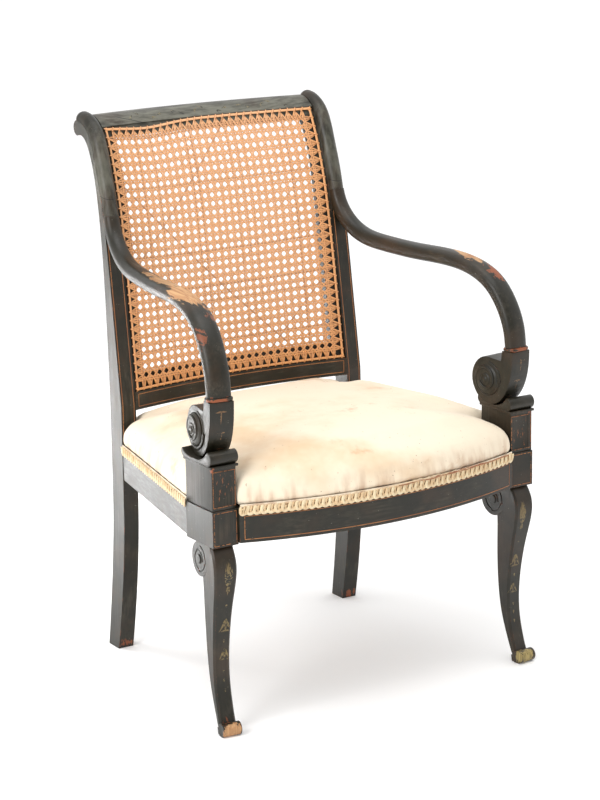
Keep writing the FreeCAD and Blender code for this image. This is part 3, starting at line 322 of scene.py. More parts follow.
def ebonised(name, grain="Z", wear=1.0, rubs=(), cracks=()):
    """Black paint on wood: streaked, hazy, rubbed along its edges and worn through in places. A haze rub greys the
    paint and lays a painted sheen on it.

    A rub is its kind, its centre and its reach in mm, and its strength. A crack is as in crack_line.
    """
    s = bpy.context.scene.chair_paint
    f = Finish(name, s.black)
    streaks = f.noise(1.0, 8.0, f.stretched(GRAIN[grain]), 0.65)
    pale_streaks = f.spread(streaks, 0.35, 0.7)
    clouds = f.noise(22.0, 5.0)
    f.coat(f.times(f.spread(clouds, 0.42, 0.75), pale_streaks), s.haze, 0.42)
    scuffs = f.patches(1.0, 0.63, 0.72, 6.0, 0.75, f.stretched(GRAIN[grain], 0.6))
    f.coat(scuffs, s.haze, 0.22)
    f.coat(f.patches(14.0, 0.45, 0.68, 4.0, 0.6), BROWN_FILM, 0.3)
    soft = f.add("ShaderNodeBevel", {"Radius": s.edge_radius}, samples=6).outputs[0]
    edge = f.spread(f.dot(soft, f.normal()), 0.985, 0.86)
    chips = f.patches(70.0, 0.60 - 0.08 * wear, 0.66, 5.0, 0.7)
    worn_away = f.times(edge, f.times(chips, 0.9))
    f.coat(worn_away, s.worn)
    f.coat(f.patches(SPECK_SIZE, 0.77, 0.80, 1.0), PALE_SPECK, 0.4)
    shown = {
        "bare": (s.bare, BARE_SHADE), "olive": (OLIVE_LIGHT, OLIVE_SHADE),
        "red": (s.worn,), "haze": (GREYED_SHEEN,), "mark": (RED_MARK,),
    }
    patchy = {}
    for kind in sorted({rub[0] for rub in rubs}):
        patchy[kind] = f.noise(1.0, 5.0, f.stretched(RUB_GRAIN[grain], RUBS[kind][0]), 0.65)
    for kind, centre, radii, strength in rubs:
        _, cover, soft_edge = RUBS[kind]
        reach = f.near(centre, radii)
        level = f.less(0.66, f.times(reach, cover))
        over = f.spread(f.less(patchy[kind], level), -soft_edge, 0.07 + soft_edge)
        share = f.times(f.times(over, f.spread(reach, 0.0, 0.12)), strength)
        hues = shown[kind]
        f.coat(share, f.mix(pale_streaks, *hues) if len(hues) > 1 else hues[0])
        if kind != "haze":
            worn_away = f.math("MAXIMUM", worn_away, share)
    height = f.plus(f.times(streaks, 0.5), f.times(f.noise(420.0), 0.12))
    height = f.less(height, f.times(worn_away, 0.25))
    for crack in cracks:
        line = crack_line(f, *crack)
        f.coat(line, CRACK_BLACK)
        height = f.less(height, line)
    f.set("Specular IOR Level", 0.42)
    rough = f.spread(f.plus(streaks, f.times(clouds, 0.6)), 0.4, 1.1, 0.26, 0.5)
    f.set("Roughness", f.math("MAXIMUM", rough, f.times(worn_away, 0.55)))
    return f.done(height, 0.5 * MM, 0.5, soft)


def beech(name, grain="X"):
    """Unpainted frame wood."""
    f = Finish(name, bpy.context.scene.chair_paint.inner_wood, 0.6)
    streaks = f.noise(1.0, 6.0, f.stretched(GRAIN[grain]), 0.6)
    f.coat(f.spread(streaks, 0.3, 0.7), BEECH_SHADE)
    f.coat(f.patches(1.0, 0.62, 0.68, 2.0, vector=f.stretched(GRAIN[grain], 1.6)), BEECH_FLECK, 0.5)
    return f.done(streaks, 0.4 * MM, 0.4)


def old_metal(name, hue, roughness):
    f = Finish(name, hue, roughness)
    tarnish = f.noise(500.0, 4.0)
    f.coat(f.spread(tarnish, 0.4, 0.7), scaled(hue, 0.35))
    f.set("Metallic", 1.0)
    return f.done(tarnish, 0.2 * MM, 0.4)


def gilding(name, lost, bright, dull):
    """Gilt paint that has flaked back to black; lost is the share that is gone."""
    f = Finish(name, bpy.context.scene.chair_paint.black, 0.42)
    flakes = f.noise(260.0, 5.0, roughness=0.7)
    patches = f.noise(30.0, 3.0)
    left = f.spread(f.plus(flakes, f.times(patches, 0.5)), 0.52 + lost * 0.3, 0.62 + lost * 0.3)
    f.coat(left, f.mix(f.spread(patches, 0.35, 0.65), bright, dull))
    f.set("Roughness", f.spread(left, 0.0, 1.0, 0.34, 0.5))
    return f.done(flakes, 0.2 * MM, 0.5)


def cane_finish(name):
    """Split cane: glossy skin, long fibres, its tone drifting from strand to strand and to the borders, with painted
    shade on the strands' rims and painted shadow on some strands.
    """
    s = bpy.context.scene.chair_cane
    f = Finish(name, s.light, 0.38)
    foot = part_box("cane_panel")[0].z
    place = f.add("ShaderNodeSeparateXYZ", {0: f.coords}).outputs
    shade = f.attribute("shade")
    border = f.spread(place["Z"], foot + 120 * MM, foot)
    side = f.spread(f.math("ABSOLUTE", place["X"]), 100 * MM, 195 * MM)
    f.coat(f.math("MAXIMUM", f.times(border, 0.8), f.times(side, 0.6)), s.deep)
    f.coat(f.spread(shade, 0.0, 1.0, 0.0, 0.4), CANE_TAN)
    # Painted shadow: strands with a high shade value are darkened brown, standing for the shadow lines along the
    # weave.
    f.coat(f.spread(shade, 0.62, 0.78, 0.0, 0.5), CANE_SHADOW_BROWN)
    # Painted shade: each strand is darkened brown along its rims, where its surface turns away from the weave's face.
    facing = f.math("ABSOLUTE", f.dot(f.normal(), f.attribute("lay", "Vector")))
    f.coat(f.spread(facing, 0.93, 0.55), CANE_RIM_SHADE, 0.75)
    f.coat(f.patches(150.0, 0.55, 0.75, 4.0, 0.65), CANE_MARK, 0.4)
    return f.done(f.noise(1200.0, 2.0), 0.2 * MM, 0.3)


def cover_cloth(name):
    """Ivory cloth: plain weave, faint creases, old brown marks and painted shade in upright streaks along the foot of
    the skirt.
    """
    s = bpy.context.scene.chair_seat
    f = Finish(name, s.cloth, 0.85)
    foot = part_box("seat_pad")[0].z
    up = f.add("ShaderNodeSeparateXYZ", {0: f.coords}).outputs["Z"]
    skirt = f.spread(up, foot + 45 * MM, foot)
    streaks = f.patches(1.0, 0.42, 0.7, 4.0, vector=f.stretched((60, 60, 8)))
    f.coat(f.patches(4.5, 0.46, 0.72, 5.0, 0.6), s.stain, 0.75)
    f.coat(f.patches(16.0, 0.60, 0.72, 6.0, 0.65), BLOT, 0.5)
    # Painted shade: darker upright streaks along the foot of the cover, for the shade of its puckers above the braid.
    f.coat(f.times(skirt, f.times(streaks, 0.8)), PUCKER_SHADE)
    f.coat(f.patches(260.0, 0.76, 0.79, 1.0), COVER_SPECK, 0.8)
    f.set("Sheen Weight", 0.15)
    f.set("Sheen Roughness", 0.5)
    across = f.noise(1.0, 2.0, f.stretched((WOVEN_FAR, WOVEN_NEAR, WOVEN_NEAR)))
    along = f.noise(1.0, 2.0, f.stretched((WOVEN_NEAR, WOVEN_FAR, WOVEN_NEAR)))
    creases = f.bump(f.noise(34.0), 4 * MM, 0.18)
    return f.done(f.plus(across, along), 0.3 * MM, 0.35, creases)


def thread(name, pale, gold):
    """Twisted thread, paler where it stands out."""
    f = Finish(name, pale, 0.8)
    mottle = f.times(f.patches(90.0, 0.35, 0.7), 0.5)
    f.coat(f.math("MAXIMUM", mottle, f.attribute("shade")), gold)
    return f.done(f.noise(900.0, 2.0), 0.6 * MM, 0.6)


def coarse_weave(name, hue, threads):
    """Jute or hessian: crossing threads at a given number to the metre, with painted shade in the gaps between them.
    """
    f = Finish(name, scaled(hue, 0.35), 0.9)
    bands = [
        f.add("ShaderNodeTexWave", {"Vector": f.coords, "Scale": threads}, bands_direction=way).outputs["Fac"]
        for way in "XY"
    ]
    weave = f.times(*bands)
    fuzz = f.noise(260.0, 4.0)
    # The dark base left between the threads is painted shade in the gaps.
    f.coat(f.spread(weave, 0.0, 0.6), hue)
    f.coat(fuzz, scaled(hue, 0.6), 0.4)
    return f.done(f.plus(weave, fuzz), 0.6 * MM, 0.7)


def dress(name, material):
    """Give a CAD node its material."""
    NODES[name].data.materials.clear()
    NODES[name].data.materials.append(material)


# Shapes


def link(obj):
    bpy.context.scene.collection.objects.link(obj)
    return obj


def settle(obj, slot, *nodes):
    """Put a finished piece on the frame, in place of CAD nodes. The slot it is given is not used."""
    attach(obj, "root")
    if nodes:
        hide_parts(*nodes)
    return obj


def points_of(name):
    """Vertices of a CAD node."""
    return [v.co.copy() for v in NODES[name].data.vertices]


def caster(name):
    """Search tree over the triangles of a CAD node."""
    data = NODES[name].data
    data.calc_loop_triangles()
    return BVHTree.FromPolygons(points_of(name), [tuple(t.vertices) for t in data.loop_triangles])


def merged(name):
    """Copy of a CAD node's mesh with its loose triangles joined."""
    bm = bmesh.new()
    bm.from_mesh(NODES[name].data)
    bmesh.ops.remove_doubles(bm, verts=bm.verts, dist=1e-5)
    return bm


def shaped(name, bm, *materials):
    """Object of a finished bmesh."""
    mesh = bpy.data.meshes.new(name)
    bm.to_mesh(mesh)
    bm.free()
    for material in materials:
        mesh.materials.append(material)
    return link(bpy.data.objects.new(name, mesh))


def smooth(mesh):
    for polygon in mesh.polygons:
        polygon.use_smooth = True


def apply_modifiers(obj, **layers):
    """Turn what the modifiers make into the object's own mesh."""
    graph = bpy.context.evaluated_depsgraph_get()
    made = bpy.data.meshes.new_from_object(obj.evaluated_get(graph), depsgraph=graph, **layers)
    obj.modifiers.clear()
    obj.data = made
    return made


def wall(obj, thickness):
    """Give a sheet its thickness, half to each side."""
    solid = obj.modifiers.new("wall", "SOLIDIFY")
    solid.thickness = thickness
    solid.offset = 0.0


def mark_points(mesh, name, values, kind="FLOAT_VECTOR"):
    """Give a mesh's points an attribute."""
    field = "vector" if kind == "FLOAT_VECTOR" else "value"
    mesh.attributes.new(name, kind, "POINT").data.foreach_set(field, values)


def guide(name, lines):
    """Mesh of polylines. Each line is a list of (point, normal) with one shade from 0 to 1."""
    verts = []
    edges = []
    normals = []
    shades = []
    for points, shade in lines:
        first = len(verts)
        for place, normal in points:
            verts.append(place)
            normals.extend(normal)
            shades.append(shade)
        edges += [(i, i + 1) for i in range(first, len(verts) - 1)]
    mesh = bpy.data.meshes.new(name)
    mesh.from_pydata(verts, edges, [])
    mark_points(mesh, "lay", normals)
    mark_points(mesh, "shade", shades, "FLOAT")
    return mesh


def group(name, sockets):
    """Geometry node group with a geometry in and out and named inputs."""
    tree = bpy.data.node_groups.new(name, "GeometryNodeTree")
    tree.interface.new_socket("Geometry", in_out="INPUT", socket_type="NodeSocketGeometry")
    for label, kind in sockets:
        tree.interface.new_socket(label, in_out="INPUT", socket_type="NodeSocket" + kind)
    tree.interface.new_socket("Geometry", in_out="OUTPUT", socket_type="NodeSocketGeometry")
    t = Tree(tree)
    return t, t.add("NodeGroupInput").outputs


def end_tree(t, geometry, material):
    """End a tree: real geometry, with its material."""
    real = t.add("GeometryNodeRealizeInstances", {0: geometry}).outputs[0]
    finished = t.add("GeometryNodeSetMaterial", {"Geometry": real, "Material": material}).outputs[0]
    t.add("NodeGroupOutput", {0: finished})
    return t.tree


def sweep(t, ins, curve, across, along):
    """Flat oval strip along a curve; across and along name the inputs for its size."""
    circle = t.add("GeometryNodeCurvePrimitiveCircle", {"Resolution": ins["Sides"], "Radius": 0.5}).outputs[0]
    size = t.vector(X=ins[across], Y=ins[along], Z=1.0)
    place = t.add("GeometryNodeInputPosition").outputs[0]
    grown = t.add("ShaderNodeVectorMath", {0: place, 1: size}, operation="MULTIPLY").outputs[0]
    oval = t.add("GeometryNodeSetPosition", {"Geometry": circle, "Position": grown}).outputs[0]
    strip = t.add("GeometryNodeCurveToMesh", {"Curve": curve, "Profile Curve": oval, "Fill Caps": True}).outputs[0]
    return t.add("GeometryNodeSetShadeSmooth", {"Geometry": strip}).outputs[0]


STRIP_SOCKETS = (("Width", "Float"), ("Thickness", "Float"), ("Sides", "Int"), ("Material", "Material"))


def strip_tree():
    """Sweeps a strand, cord or line along every polyline of a guide, its flat side square to lay."""
    found = bpy.data.node_groups.get("strands")
    if found:
        return found
    t, ins = group("strands", STRIP_SOCKETS)
    curve = t.add("GeometryNodeMeshToCurve", {"Mesh": ins["Geometry"]}).outputs[0]
    faced = t.add("GeometryNodeSetCurveNormal", {"Curve": curve, "Normal": t.named("lay")}, mode="FREE").outputs[0]
    return end_tree(t, sweep(t, ins, faced, "Thickness", "Width"), ins["Material"])


def stitch_tree():
    """Puts a stitch at every point of a guide, along its attribute across, bowed along its attribute lay."""
    t, ins = group("stitches", STRIP_SOCKETS + (("Length", "Float"), ("Height", "Float")))
    half = t.times(ins["Length"], 0.5)
    start, end = (t.vector(X=t.times(half, sign)) for sign in (-1.0, 1.0))
    top = t.vector(Z=t.times(ins["Height"], 2.0))
    arch = t.add("GeometryNodeCurveQuadraticBezier", {"Resolution": 6, "Start": start, "Middle": top, "End": end})
    strip = sweep(t, ins, arch.outputs[0], "Width", "Thickness")
    up = t.add("FunctionNodeAlignRotationToVector", {"Vector": t.named("lay")}, axis="Z").outputs[0]
    faced = t.add(
        "FunctionNodeAlignRotationToVector", {"Rotation": up, "Vector": t.named("across")}, axis="X", pivot_axis="Z"
    ).outputs[0]
    placed = t.add(
        "GeometryNodeInstanceOnPoints", {"Points": ins["Geometry"], "Instance": strip, "Rotation": faced}
    ).outputs[0]
    return end_tree(t, placed, ins["Material"])


def grow(name, mesh, tree, values):
    """Run a node group over a guide and keep the result as a plain mesh."""
    obj = link(bpy.data.objects.new(name, mesh))
    modifier = obj.modifiers.new("grow", "NODES")
    modifier.node_group = tree
    for item in tree.interface.items_tree:
        if item.item_type == "SOCKET" and item.in_out == "INPUT" and item.name in values:
            modifier[item.identifier] = values[item.name]
    apply_modifiers(obj, preserve_all_data_layers=True).name = name
    return obj


def strands(name, lines, width, thickness, sides, material):
    values = {"Width": width, "Thickness": thickness, "Sides": sides, "Material": material}
    return grow(name, guide(name + "_guide", lines), strip_tree(), values)


# Cane


SEEN_HALF = 0.985  # share of the panel's half width at which its edge is measured


class CanePanel:
    """Front of the woven panel, measured on the frame, and the lattice of its holes."""

    def __init__(self):
        self.settings = bpy.context.scene.chair_cane
        low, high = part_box("cane_panel")
        tree = caster("cane_panel")
        self.z0, self.z1 = low.z, high.z
        self.half0 = high.x
        self.half1 = max(c.x for c in points_of("cane_panel") if c.z > high.z - MM)
        self.depth = 1.2 * MM
        self.levels = np.linspace(low.z + MM, high.z - MM, 48)
        self.sides = []
        self.dips = []
        for z in self.levels:
            near, middle = (self.front(tree, x, z) for x in (self.half(z) * SEEN_HALF, 0.0))
            self.sides.append(near)
            self.dips.append((middle - near) / SEEN_HALF ** 2)

    def front(self, tree, x, z):
        hit = tree.ray_cast(Vector((x, -1, z)), Vector((0, 1, 0)))
        return hit[0].y

    def half(self, z):
        share = (z - self.z0) / (self.z1 - self.z0)
        return self.half0 + (self.half1 - self.half0) * share

    def surface(self, x, z):
        """Middle of the weave at x and z."""
        near = np.interp(z, self.levels, self.sides)
        dip = np.interp(z, self.levels, self.dips)
        share = x / self.half(z)
        return near + dip * (0.97 - share * share) + self.depth

    def flat(self, s, t):
        """Place on the panel of lattice point s across and t up."""
        c = self.settings
        across = s / c.columns
        up = t / c.rows
        z = self.z0 + c.end_inset + (self.z1 - self.z0 - 2 * c.end_inset) * up
        z -= c.sag * math.sin(math.pi * min(1, max(0, across))) * math.sin(math.pi * min(1, max(0, up)))
        hole = self.half(z) - c.side_inset
        x = hole * (2 * across - 1)
        z -= c.top_dip * math.exp(-((x + 0.112) / 0.055) ** 2) * max(0, up) ** 4
        return x, z

    def at(self, s, t, lift):
        """Point of a strand and the way it faces, lifted off the middle of the weave."""
        x, z = self.flat(s, t)
        y = self.surface(x, z)
        step = 2 * MM
        slope_x = (self.surface(x + step, z) - self.surface(x - step, z)) / (2 * step)
        slope_z = (self.surface(x, z + step) - self.surface(x, z - step)) / (2 * step)
        normal = Vector((slope_x, -1, slope_z)).normalized()
        return Vector((x, y, z)) + normal * lift, normal


def wander(seed, along):
    """Small uneven run of a hand-laid strand."""
    return 0.035 * noise.noise(Vector((seed * 3.7, along * 0.35, 0.5)))


def weave(distance, spread):
    """Lift of a pair strand near a crossing, from -1 to 1."""
    near = distance / (2 * spread)
    return math.sin(math.pi * near) if abs(near) < 1 else 0.0


def pair_lines(panel, upright):
    """Pairs of strands that run up the panel, or across it."""
    s = panel.settings
    count, reach = (s.columns, s.rows) if upright else (s.rows, s.columns)
    pitch = 2 * (panel.half0 - s.side_inset) / s.columns
    spread = (s.pair_gap if upright else s.row_gap) / 2 / pitch
    other = (s.row_gap if upright else s.pair_gap) / 2 / pitch
    lift = s.strand_thickness * 0.62
    lines = []
    for i in range(1, count):
        for side in (-1, 1):
            seed = i * 2 + side * 0.5 + (100 if upright else 0)
            points = []
            for j in range(reach + 1):
                for step in (-2, -1, 0, 1, 2, 0.5 / other):
                    along = j + step * other
                    if not 0 <= along <= reach:
                        continue
                    gather = min(1.0, along / 0.6, (reach - along) / 0.6)
                    across = i + side * spread * gather + wander(seed, along) * gather
                    rise = weave(step * other, other) if 0 < j < reach and abs(step) <= 2 else 0.0
                    height = lift * rise * side * (-1 if upright else 1)
                    height -= (1 - gather) * MM
                    points.append(panel.at(*((across, along) if upright else (along, across)), height))
            lines.append((points, 0.5 + 0.5 * noise.noise(Vector((seed, 7.7, 0.3)))))
    return lines


def diagonal_nodes(columns, rows, rising):
    """Lattice nodes of every diagonal, from hole to hole."""
    found = []
    for k in range(-rows, columns + rows):
        nodes = []
        for doubled in range(2, 2 * columns - 1):
            s = doubled / 2
            t = s - k - 0.5 if rising else k + 0.5 - s
            if 1 <= t <= rows - 1:
                nodes.append((s, t))
        if len(nodes) < 2:
            continue
        (s0, t0), (s1, t1) = nodes[0], nodes[-1]
        way = 1 if rising else -1
        first = (0, t0 - 0.5 * way) if s0 == 1 else (s0 - 0.5, 0 if rising else rows)
        last = (columns, t1 + 0.5 * way) if s1 == columns - 1 else (s1 + 0.5, rows if rising else 0)
        found.append([first] + nodes + [last])
    return found


def diagonal_lines(panel, rising):
    s = panel.settings
    lift = s.strand_thickness * 1.35
    lines = []
    for number, nodes in enumerate(diagonal_nodes(s.columns, s.rows, rising)):
        points = []
        for n, (a, b) in enumerate(zip(nodes, nodes[1:])):
            last = n == len(nodes) - 2
            for step in range(4 if last else 3):
                share = step / 3
                x = a[0] + (b[0] - a[0]) * share
                y = a[1] + (b[1] - a[1]) * share
                phase = math.cos(2 * math.pi * (x if 0 < n < len(nodes) - 2 else round(x * 2) / 2))
                inside = 0.0 if (n == 0 and step == 0) or (last and step == 3) else 1.0
                height = lift * phase * (1 if rising else -1) * inside - (1 - inside) * MM
                shift = wander(number + (200 if rising else 300), x)
                points.append(panel.at(x, y + shift * inside, height))
        lines.append((points, 0.5 + 0.5 * noise.noise(Vector((number * 1.3, 3.1, 9.0 if rising else 4.0)))))
    return lines


def binder_edges(panel):
    """Runs of the hole row: the four edges with the number of holes on each."""
    s = panel.settings
    c, r = s.columns, s.rows
    return {
        "bottom": [(i, 0) for i in range(c + 1)],
        "top": [(i, r) for i in range(c + 1)],
        "left": [(0, j) for j in range(r + 1)],
        "right": [(c, j) for j in range(r + 1)],
    }


def stitch_points(panel, holes, lift):
    """Guide of single points with their lay and the way each stitch crosses the binder."""
    verts, lays, ways = [], [], []
    for n, (s, t) in enumerate(holes):
        place, lay = panel.at(s, t, lift)
        before, _ = panel.at(*holes[max(0, n - 1)], lift)
        after, _ = panel.at(*holes[min(len(holes) - 1, n + 1)], lift)
        along = (after - before).normalized()
        way = lay.cross(along).normalized() + along * (0.55 + 0.2 * noise.noise(Vector((s, t, 1.7))))
        verts.append(place)
        lays.extend(lay)
        ways.extend(way.normalized())
    mesh = bpy.data.meshes.new("stitch_points")
    mesh.from_pydata(verts, [], [])
    mark_points(mesh, "lay", lays)
    mark_points(mesh, "across", ways)
    mark_points(mesh, "shade", [0.3] * len(verts), "FLOAT")
    return mesh


# Surfaces that ornament is laid on


class Face:
    """Casts flat drawings on to a CAD node along one direction."""

    def __init__(self, name, way):
        self.tree = caster(name)
        self.way = Vector(way).normalized()

    def lay(self, point, proud=0.1 * MM):
        """Point moved on to the surface, and the surface's normal, or None."""
        start = Vector(point) - self.way
        place, normal, _, _ = self.tree.ray_cast(start, self.way)
        if place is None:
            return None
        if normal.dot(self.way) > 0:
            normal = -normal
        return place + normal * proud, normal


def gilt_line(face, corners, step=4 * MM):
    """Polyline laid on a face through corners given in millimetres."""
    points = []
    for a, b in zip(corners, corners[1:]):
        a, b = Vector(a) * MM, Vector(b) * MM
        count = max(1, round((b - a).length / step))
        points += [face.lay(a.lerp(b, i / count)) for i in range(count)]
    points.append(face.lay(Vector(corners[-1]) * MM))
    return [p for p in points if p is not None]


TO_THE_BACK = (0, 1, 0)
LEAF_STEPS = 7
LEAF_BLUNTNESS = 0.45


def leaf_rows(length, width, bend):
    """Left edge, rib and right edge of a leaf at each step up from its stalk."""
    rows = []
    for i in range(LEAF_STEPS + 1):
        share = i / LEAF_STEPS
        half = width / 2 * math.sin(math.pi * share ** (1 - LEAF_BLUNTNESS)) ** 0.9 if 0 < i < LEAF_STEPS else 0.0
        middle = bend * share * share
        rows.append([(middle + edge * half, length * share) for edge in (-1, 0, 1)])
    return rows


def leaves(name, node, drawings, material):
    """Thin painted leaves on the front of a node. A drawing is centre in mm, angle, length, width and bend."""
    face = Face(node, TO_THE_BACK)
    bm = bmesh.new()
    for centre, angle, length, width, bend in drawings:
        turn = Matrix.Rotation(math.radians(angle), 2)
        rows = []
        for flat in leaf_rows(length, width, bend):
            spots = [turn @ Vector(spot) for spot in flat]
            rows.append([face.lay((Vector(centre) + Vector((u, 0, v))) * MM, 0.12 * MM) for u, v in spots])
        if any(p is None for row in rows for p in row):
            continue
        verts = [[bm.verts.new(p[0]) for p in row] for row in rows]
        for low, high in zip(verts, verts[1:]):
            for k in range(2):
                bm.faces.new((low[k], low[k + 1], high[k + 1], high[k]))
    bmesh.ops.remove_doubles(bm, verts=bm.verts, dist=1e-6)
    bmesh.ops.dissolve_degenerate(bm, edges=bm.edges, dist=1e-7)
    obj = shaped(name, bm, material)
    smooth(obj.data)
    return settle(obj, "ebonised_wood")


# Operators


class ChairPiece:
    """What the operators share."""
    bl_options = {"REGISTER", "UNDO"}


WHITE = (1.0, 1.0, 1.0, 1.0)
FLOOR_REACH = 20.0
# Lamps: name, place, aim, diameter, watts and spread in degrees
LAMPS = (
    ("softbox_left", (-2.6, -0.9, 1.8), (0, 0, 0.5), 1.6, 46.0, 180.0),
    ("softbox_top", (-0.3, -0.4, 3.0), (0, 0, 0.5), 2.2, 26.0, 180.0),
    ("softbox_behind", (-1.5, 2.2, 2.2), (-1.2, 1.6, 0.0), 1.2, 84.0, 55.0),
)


class CHAIR_OT_studio(ChairPiece, bpy.types.Operator):
    """Floor, lights and camera"""
    bl_idname = "chair.studio"
    bl_label = "Studio"

    def execute(self, context):
        s = context.scene.chair_studio
        self.floor(s)
        self.room(context, s)
        for lamp in LAMPS:
            self.lamp(*lamp)
        self.camera(context, s)
        context.scene.view_settings.view_transform = "Standard"
        return {"FINISHED"}

    def floor(self, s):
        far = FLOOR_REACH
        mesh = bpy.data.meshes.new("floor")
        mesh.from_pydata([(-far, -far, 0), (far, -far, 0), (far, far, 0), (-far, far, 0)], [], [(0, 1, 2, 3)])
        f = Finish("pale_floor", s.floor, 0.9)
        f.coat(f.noise(3.0), tint(236, 236, 236), 0.04)
        f.set("Base Color", f.base)
        f.set("Emission Color", WHITE)
        f.set("Emission Strength", 0.09)
        mesh.materials.append(f.material)
        link(bpy.data.objects.new("floor", mesh))

    def room(self, context, s):
        """White room, brighter behind the chair than behind the camera."""
        world = bpy.data.worlds.new("studio")
        context.scene.world = world
        world.use_nodes = True
        w = Tree(world.node_tree)
        w.tree.nodes.clear()
        ray = w.add("ShaderNodeTexCoord").outputs["Generated"]
        toward = w.dot(ray, -Vector((math.sin(s.turn), math.cos(s.turn), 0)))
        glow = w.spread(toward, -0.3, 0.95, s.back_glow, s.front_glow)
        out = w.add("ShaderNodeBackground", {"Color": WHITE, "Strength": glow}).outputs[0]
        w.add("ShaderNodeOutputWorld", {0: out})

    def lamp(self, name, place, aim, size, power, spread):
        data = bpy.data.lights.new(name, "AREA")
        data.shape = "DISK"
        data.size = size
        data.energy = power
        data.spread = math.radians(spread)
        lamp = link(bpy.data.objects.new(name, data))
        lamp.location = place
        lamp.rotation_euler = (Vector(aim) - Vector(place)).to_track_quat("-Z", "Y").to_euler()

    def camera(self, context, s):
        data = bpy.data.cameras.new("photo_view")
        data.lens = s.lens
        data.sensor_width = 36.0
        data.sensor_fit = "AUTO"
        data.clip_end = 50.0
        camera = link(bpy.data.objects.new("photo_view", data))
        turn = Matrix.Rotation(-s.turn, 4, "Z") @ Matrix.Rotation(math.pi / 2 - s.tilt, 4, "X")
        camera.matrix_world = Matrix.Translation(s.camera_place) @ turn @ Matrix.Rotation(s.roll, 4, "Z")
        context.scene.camera = camera


def paint(node, *finish):
    """Ebonise a CAD node; finish is the grain, wear, rubs and cracks of ebonised."""
    dress(node, ebonised("paint_" + node, *finish))


def mirrored(sign, rubs):
    """Rubs of the right side, moved to the side of this sign."""
    return [(kind, (sign * x, y, z), reach, strength) for kind, (x, y, z), reach, strength in rubs]


def soften(name, radius, segments):
    """Copy of a CAD piece with rounded edges, shown in its place."""
    bm = merged(name)
    bmesh.ops.dissolve_limit(bm, angle_limit=math.radians(0.4), verts=bm.verts, edges=bm.edges)
    bmesh.ops.recalc_face_normals(bm, faces=bm.faces)
    obj = shaped(name + "_rounded", bm)
    bevel = obj.modifiers.new("bevel", "BEVEL")
    bevel.width = radius
    bevel.segments = segments
    bevel.limit_method = "ANGLE"
    bevel.angle_limit = math.radians(42)
    made = apply_modifiers(obj)
    made.materials.append(NODES[name].data.materials[0])
    smooth(made)
    for polygon in made.polygons:
        polygon.material_index = 0
    settle(obj, "ebonised_wood", name)


KNOB_SIDES = 40


def turned(name, centre, axis, rings, material):
    """Turned knob on an axis: rings lists (radius, height) in mm from the rim to the middle."""
    bm = bmesh.new()
    up = Vector(axis).normalized()
    across = up.cross(Vector((0, 0, 1))).normalized()
    other = up.cross(across)
    centre = Vector(centre) * MM
    rows = []
    for radius, height in rings:
        row = []
        for k in range(KNOB_SIDES):
            turn = 2 * math.pi * k / KNOB_SIDES
            flat = (across * math.cos(turn) + other * math.sin(turn)) * radius
            row.append(bm.verts.new(centre + (flat + up * height) * MM))
        rows.append(row)
    for low, high in zip(rows, rows[1:]):
        for k in range(KNOB_SIDES):
            after = (k + 1) % KNOB_SIDES
            bm.faces.new((low[k], low[after], high[after], high[k]))
    bm.faces.new(rows[0][::-1])
    bm.faces.new(rows[-1])
    bmesh.ops.recalc_face_normals(bm, faces=bm.faces)
    obj = shaped(name, bm, material)
    for polygon in obj.data.polygons:
        polygon.use_smooth = len(polygon.vertices) == 4
    settle(obj, "ebonised_wood")


# Rubs: kind, centre and reach in mm, strength
ARM_RUBS = {
    "left": [
        ("bare", (-230, -36, 636), (20, 90, 18), 0.7),
        ("bare", (-241, -118, 634), (34, 72, 32), 1.0),
        ("red", (-244, -182, 608), (14, 30, 22), 0.6),
        ("red", (-273, -202, 586), (9, 26, 30), 0.6),
        ("red", (-266, -236, 500), (26, 26, 7), 0.9),
    ],
    "right": [
        ("bare", (252, -125, 631), (18, 62, 14), 0.95),
        ("red", (260, -178, 610), (18, 40, 24), 0.85),
        ("red", (266, -236, 500), (26, 26, 7), 0.9),
    ],
}
TOE_RUBS = {
    "left": [("bare", (-271, -254, 10), (22, 15, 16), 0.95), ("red", (-271, -246, 26), (18, 16, 16), 0.6)],
    "right": [("olive", (265, -252, 12), (26, 18, 20), 0.95)],
}
# The haze rub high on each post is greyed paint with a painted sheen on the stile roll.
POST_RUBS = [("red", (214, 160, 8), (20, 30, 14), 0.8), ("haze", (214, 180, 770), (40, 70, 110), 0.5)]
RING_RUBS = [("red", (264, -240, 498), (40, 40, 8), 0.9)]
BLOCK_RUBS = [
    ("mark", (266.112, -239, 376), (14, 8, 26), 0.9), ("mark", (252.912, -239, 368), (9, 8, 20), 0.9),
    ("mark", (271.92, -239, 354), (6, 8, 12), 1.0), ("red", (283.8, -241, 400), (8, 8, 8), 0.9),
]
# The haze rub along the crest is greyed paint with a painted sheen on its top.
CREST_RUBS = [("haze", (0, 240, 832), (420, 80, 60), 0.85)]
# Cracks: a point of each, the way across it, and its reach in mm
CREST_CRACK = ((-130, 243, 832), (0.25, 0.0, 0.97), (34, 30, 20))
JOINT_CRACKS = {
    "left": ((-210, 178, 724), (0.0, -0.3, 1.0), (20, 20, 20)),
    "right": ((207, 176, 712), (0.0, -0.3, 1.0), (20, 20, 20)),
}
# Pieces with rounded edges: radius in mm and segments
ROUNDED = {"arm_scroll_": (4.5, 3), "saddle_": (1.4, 2), "arm_block_": (1.2, 2)}
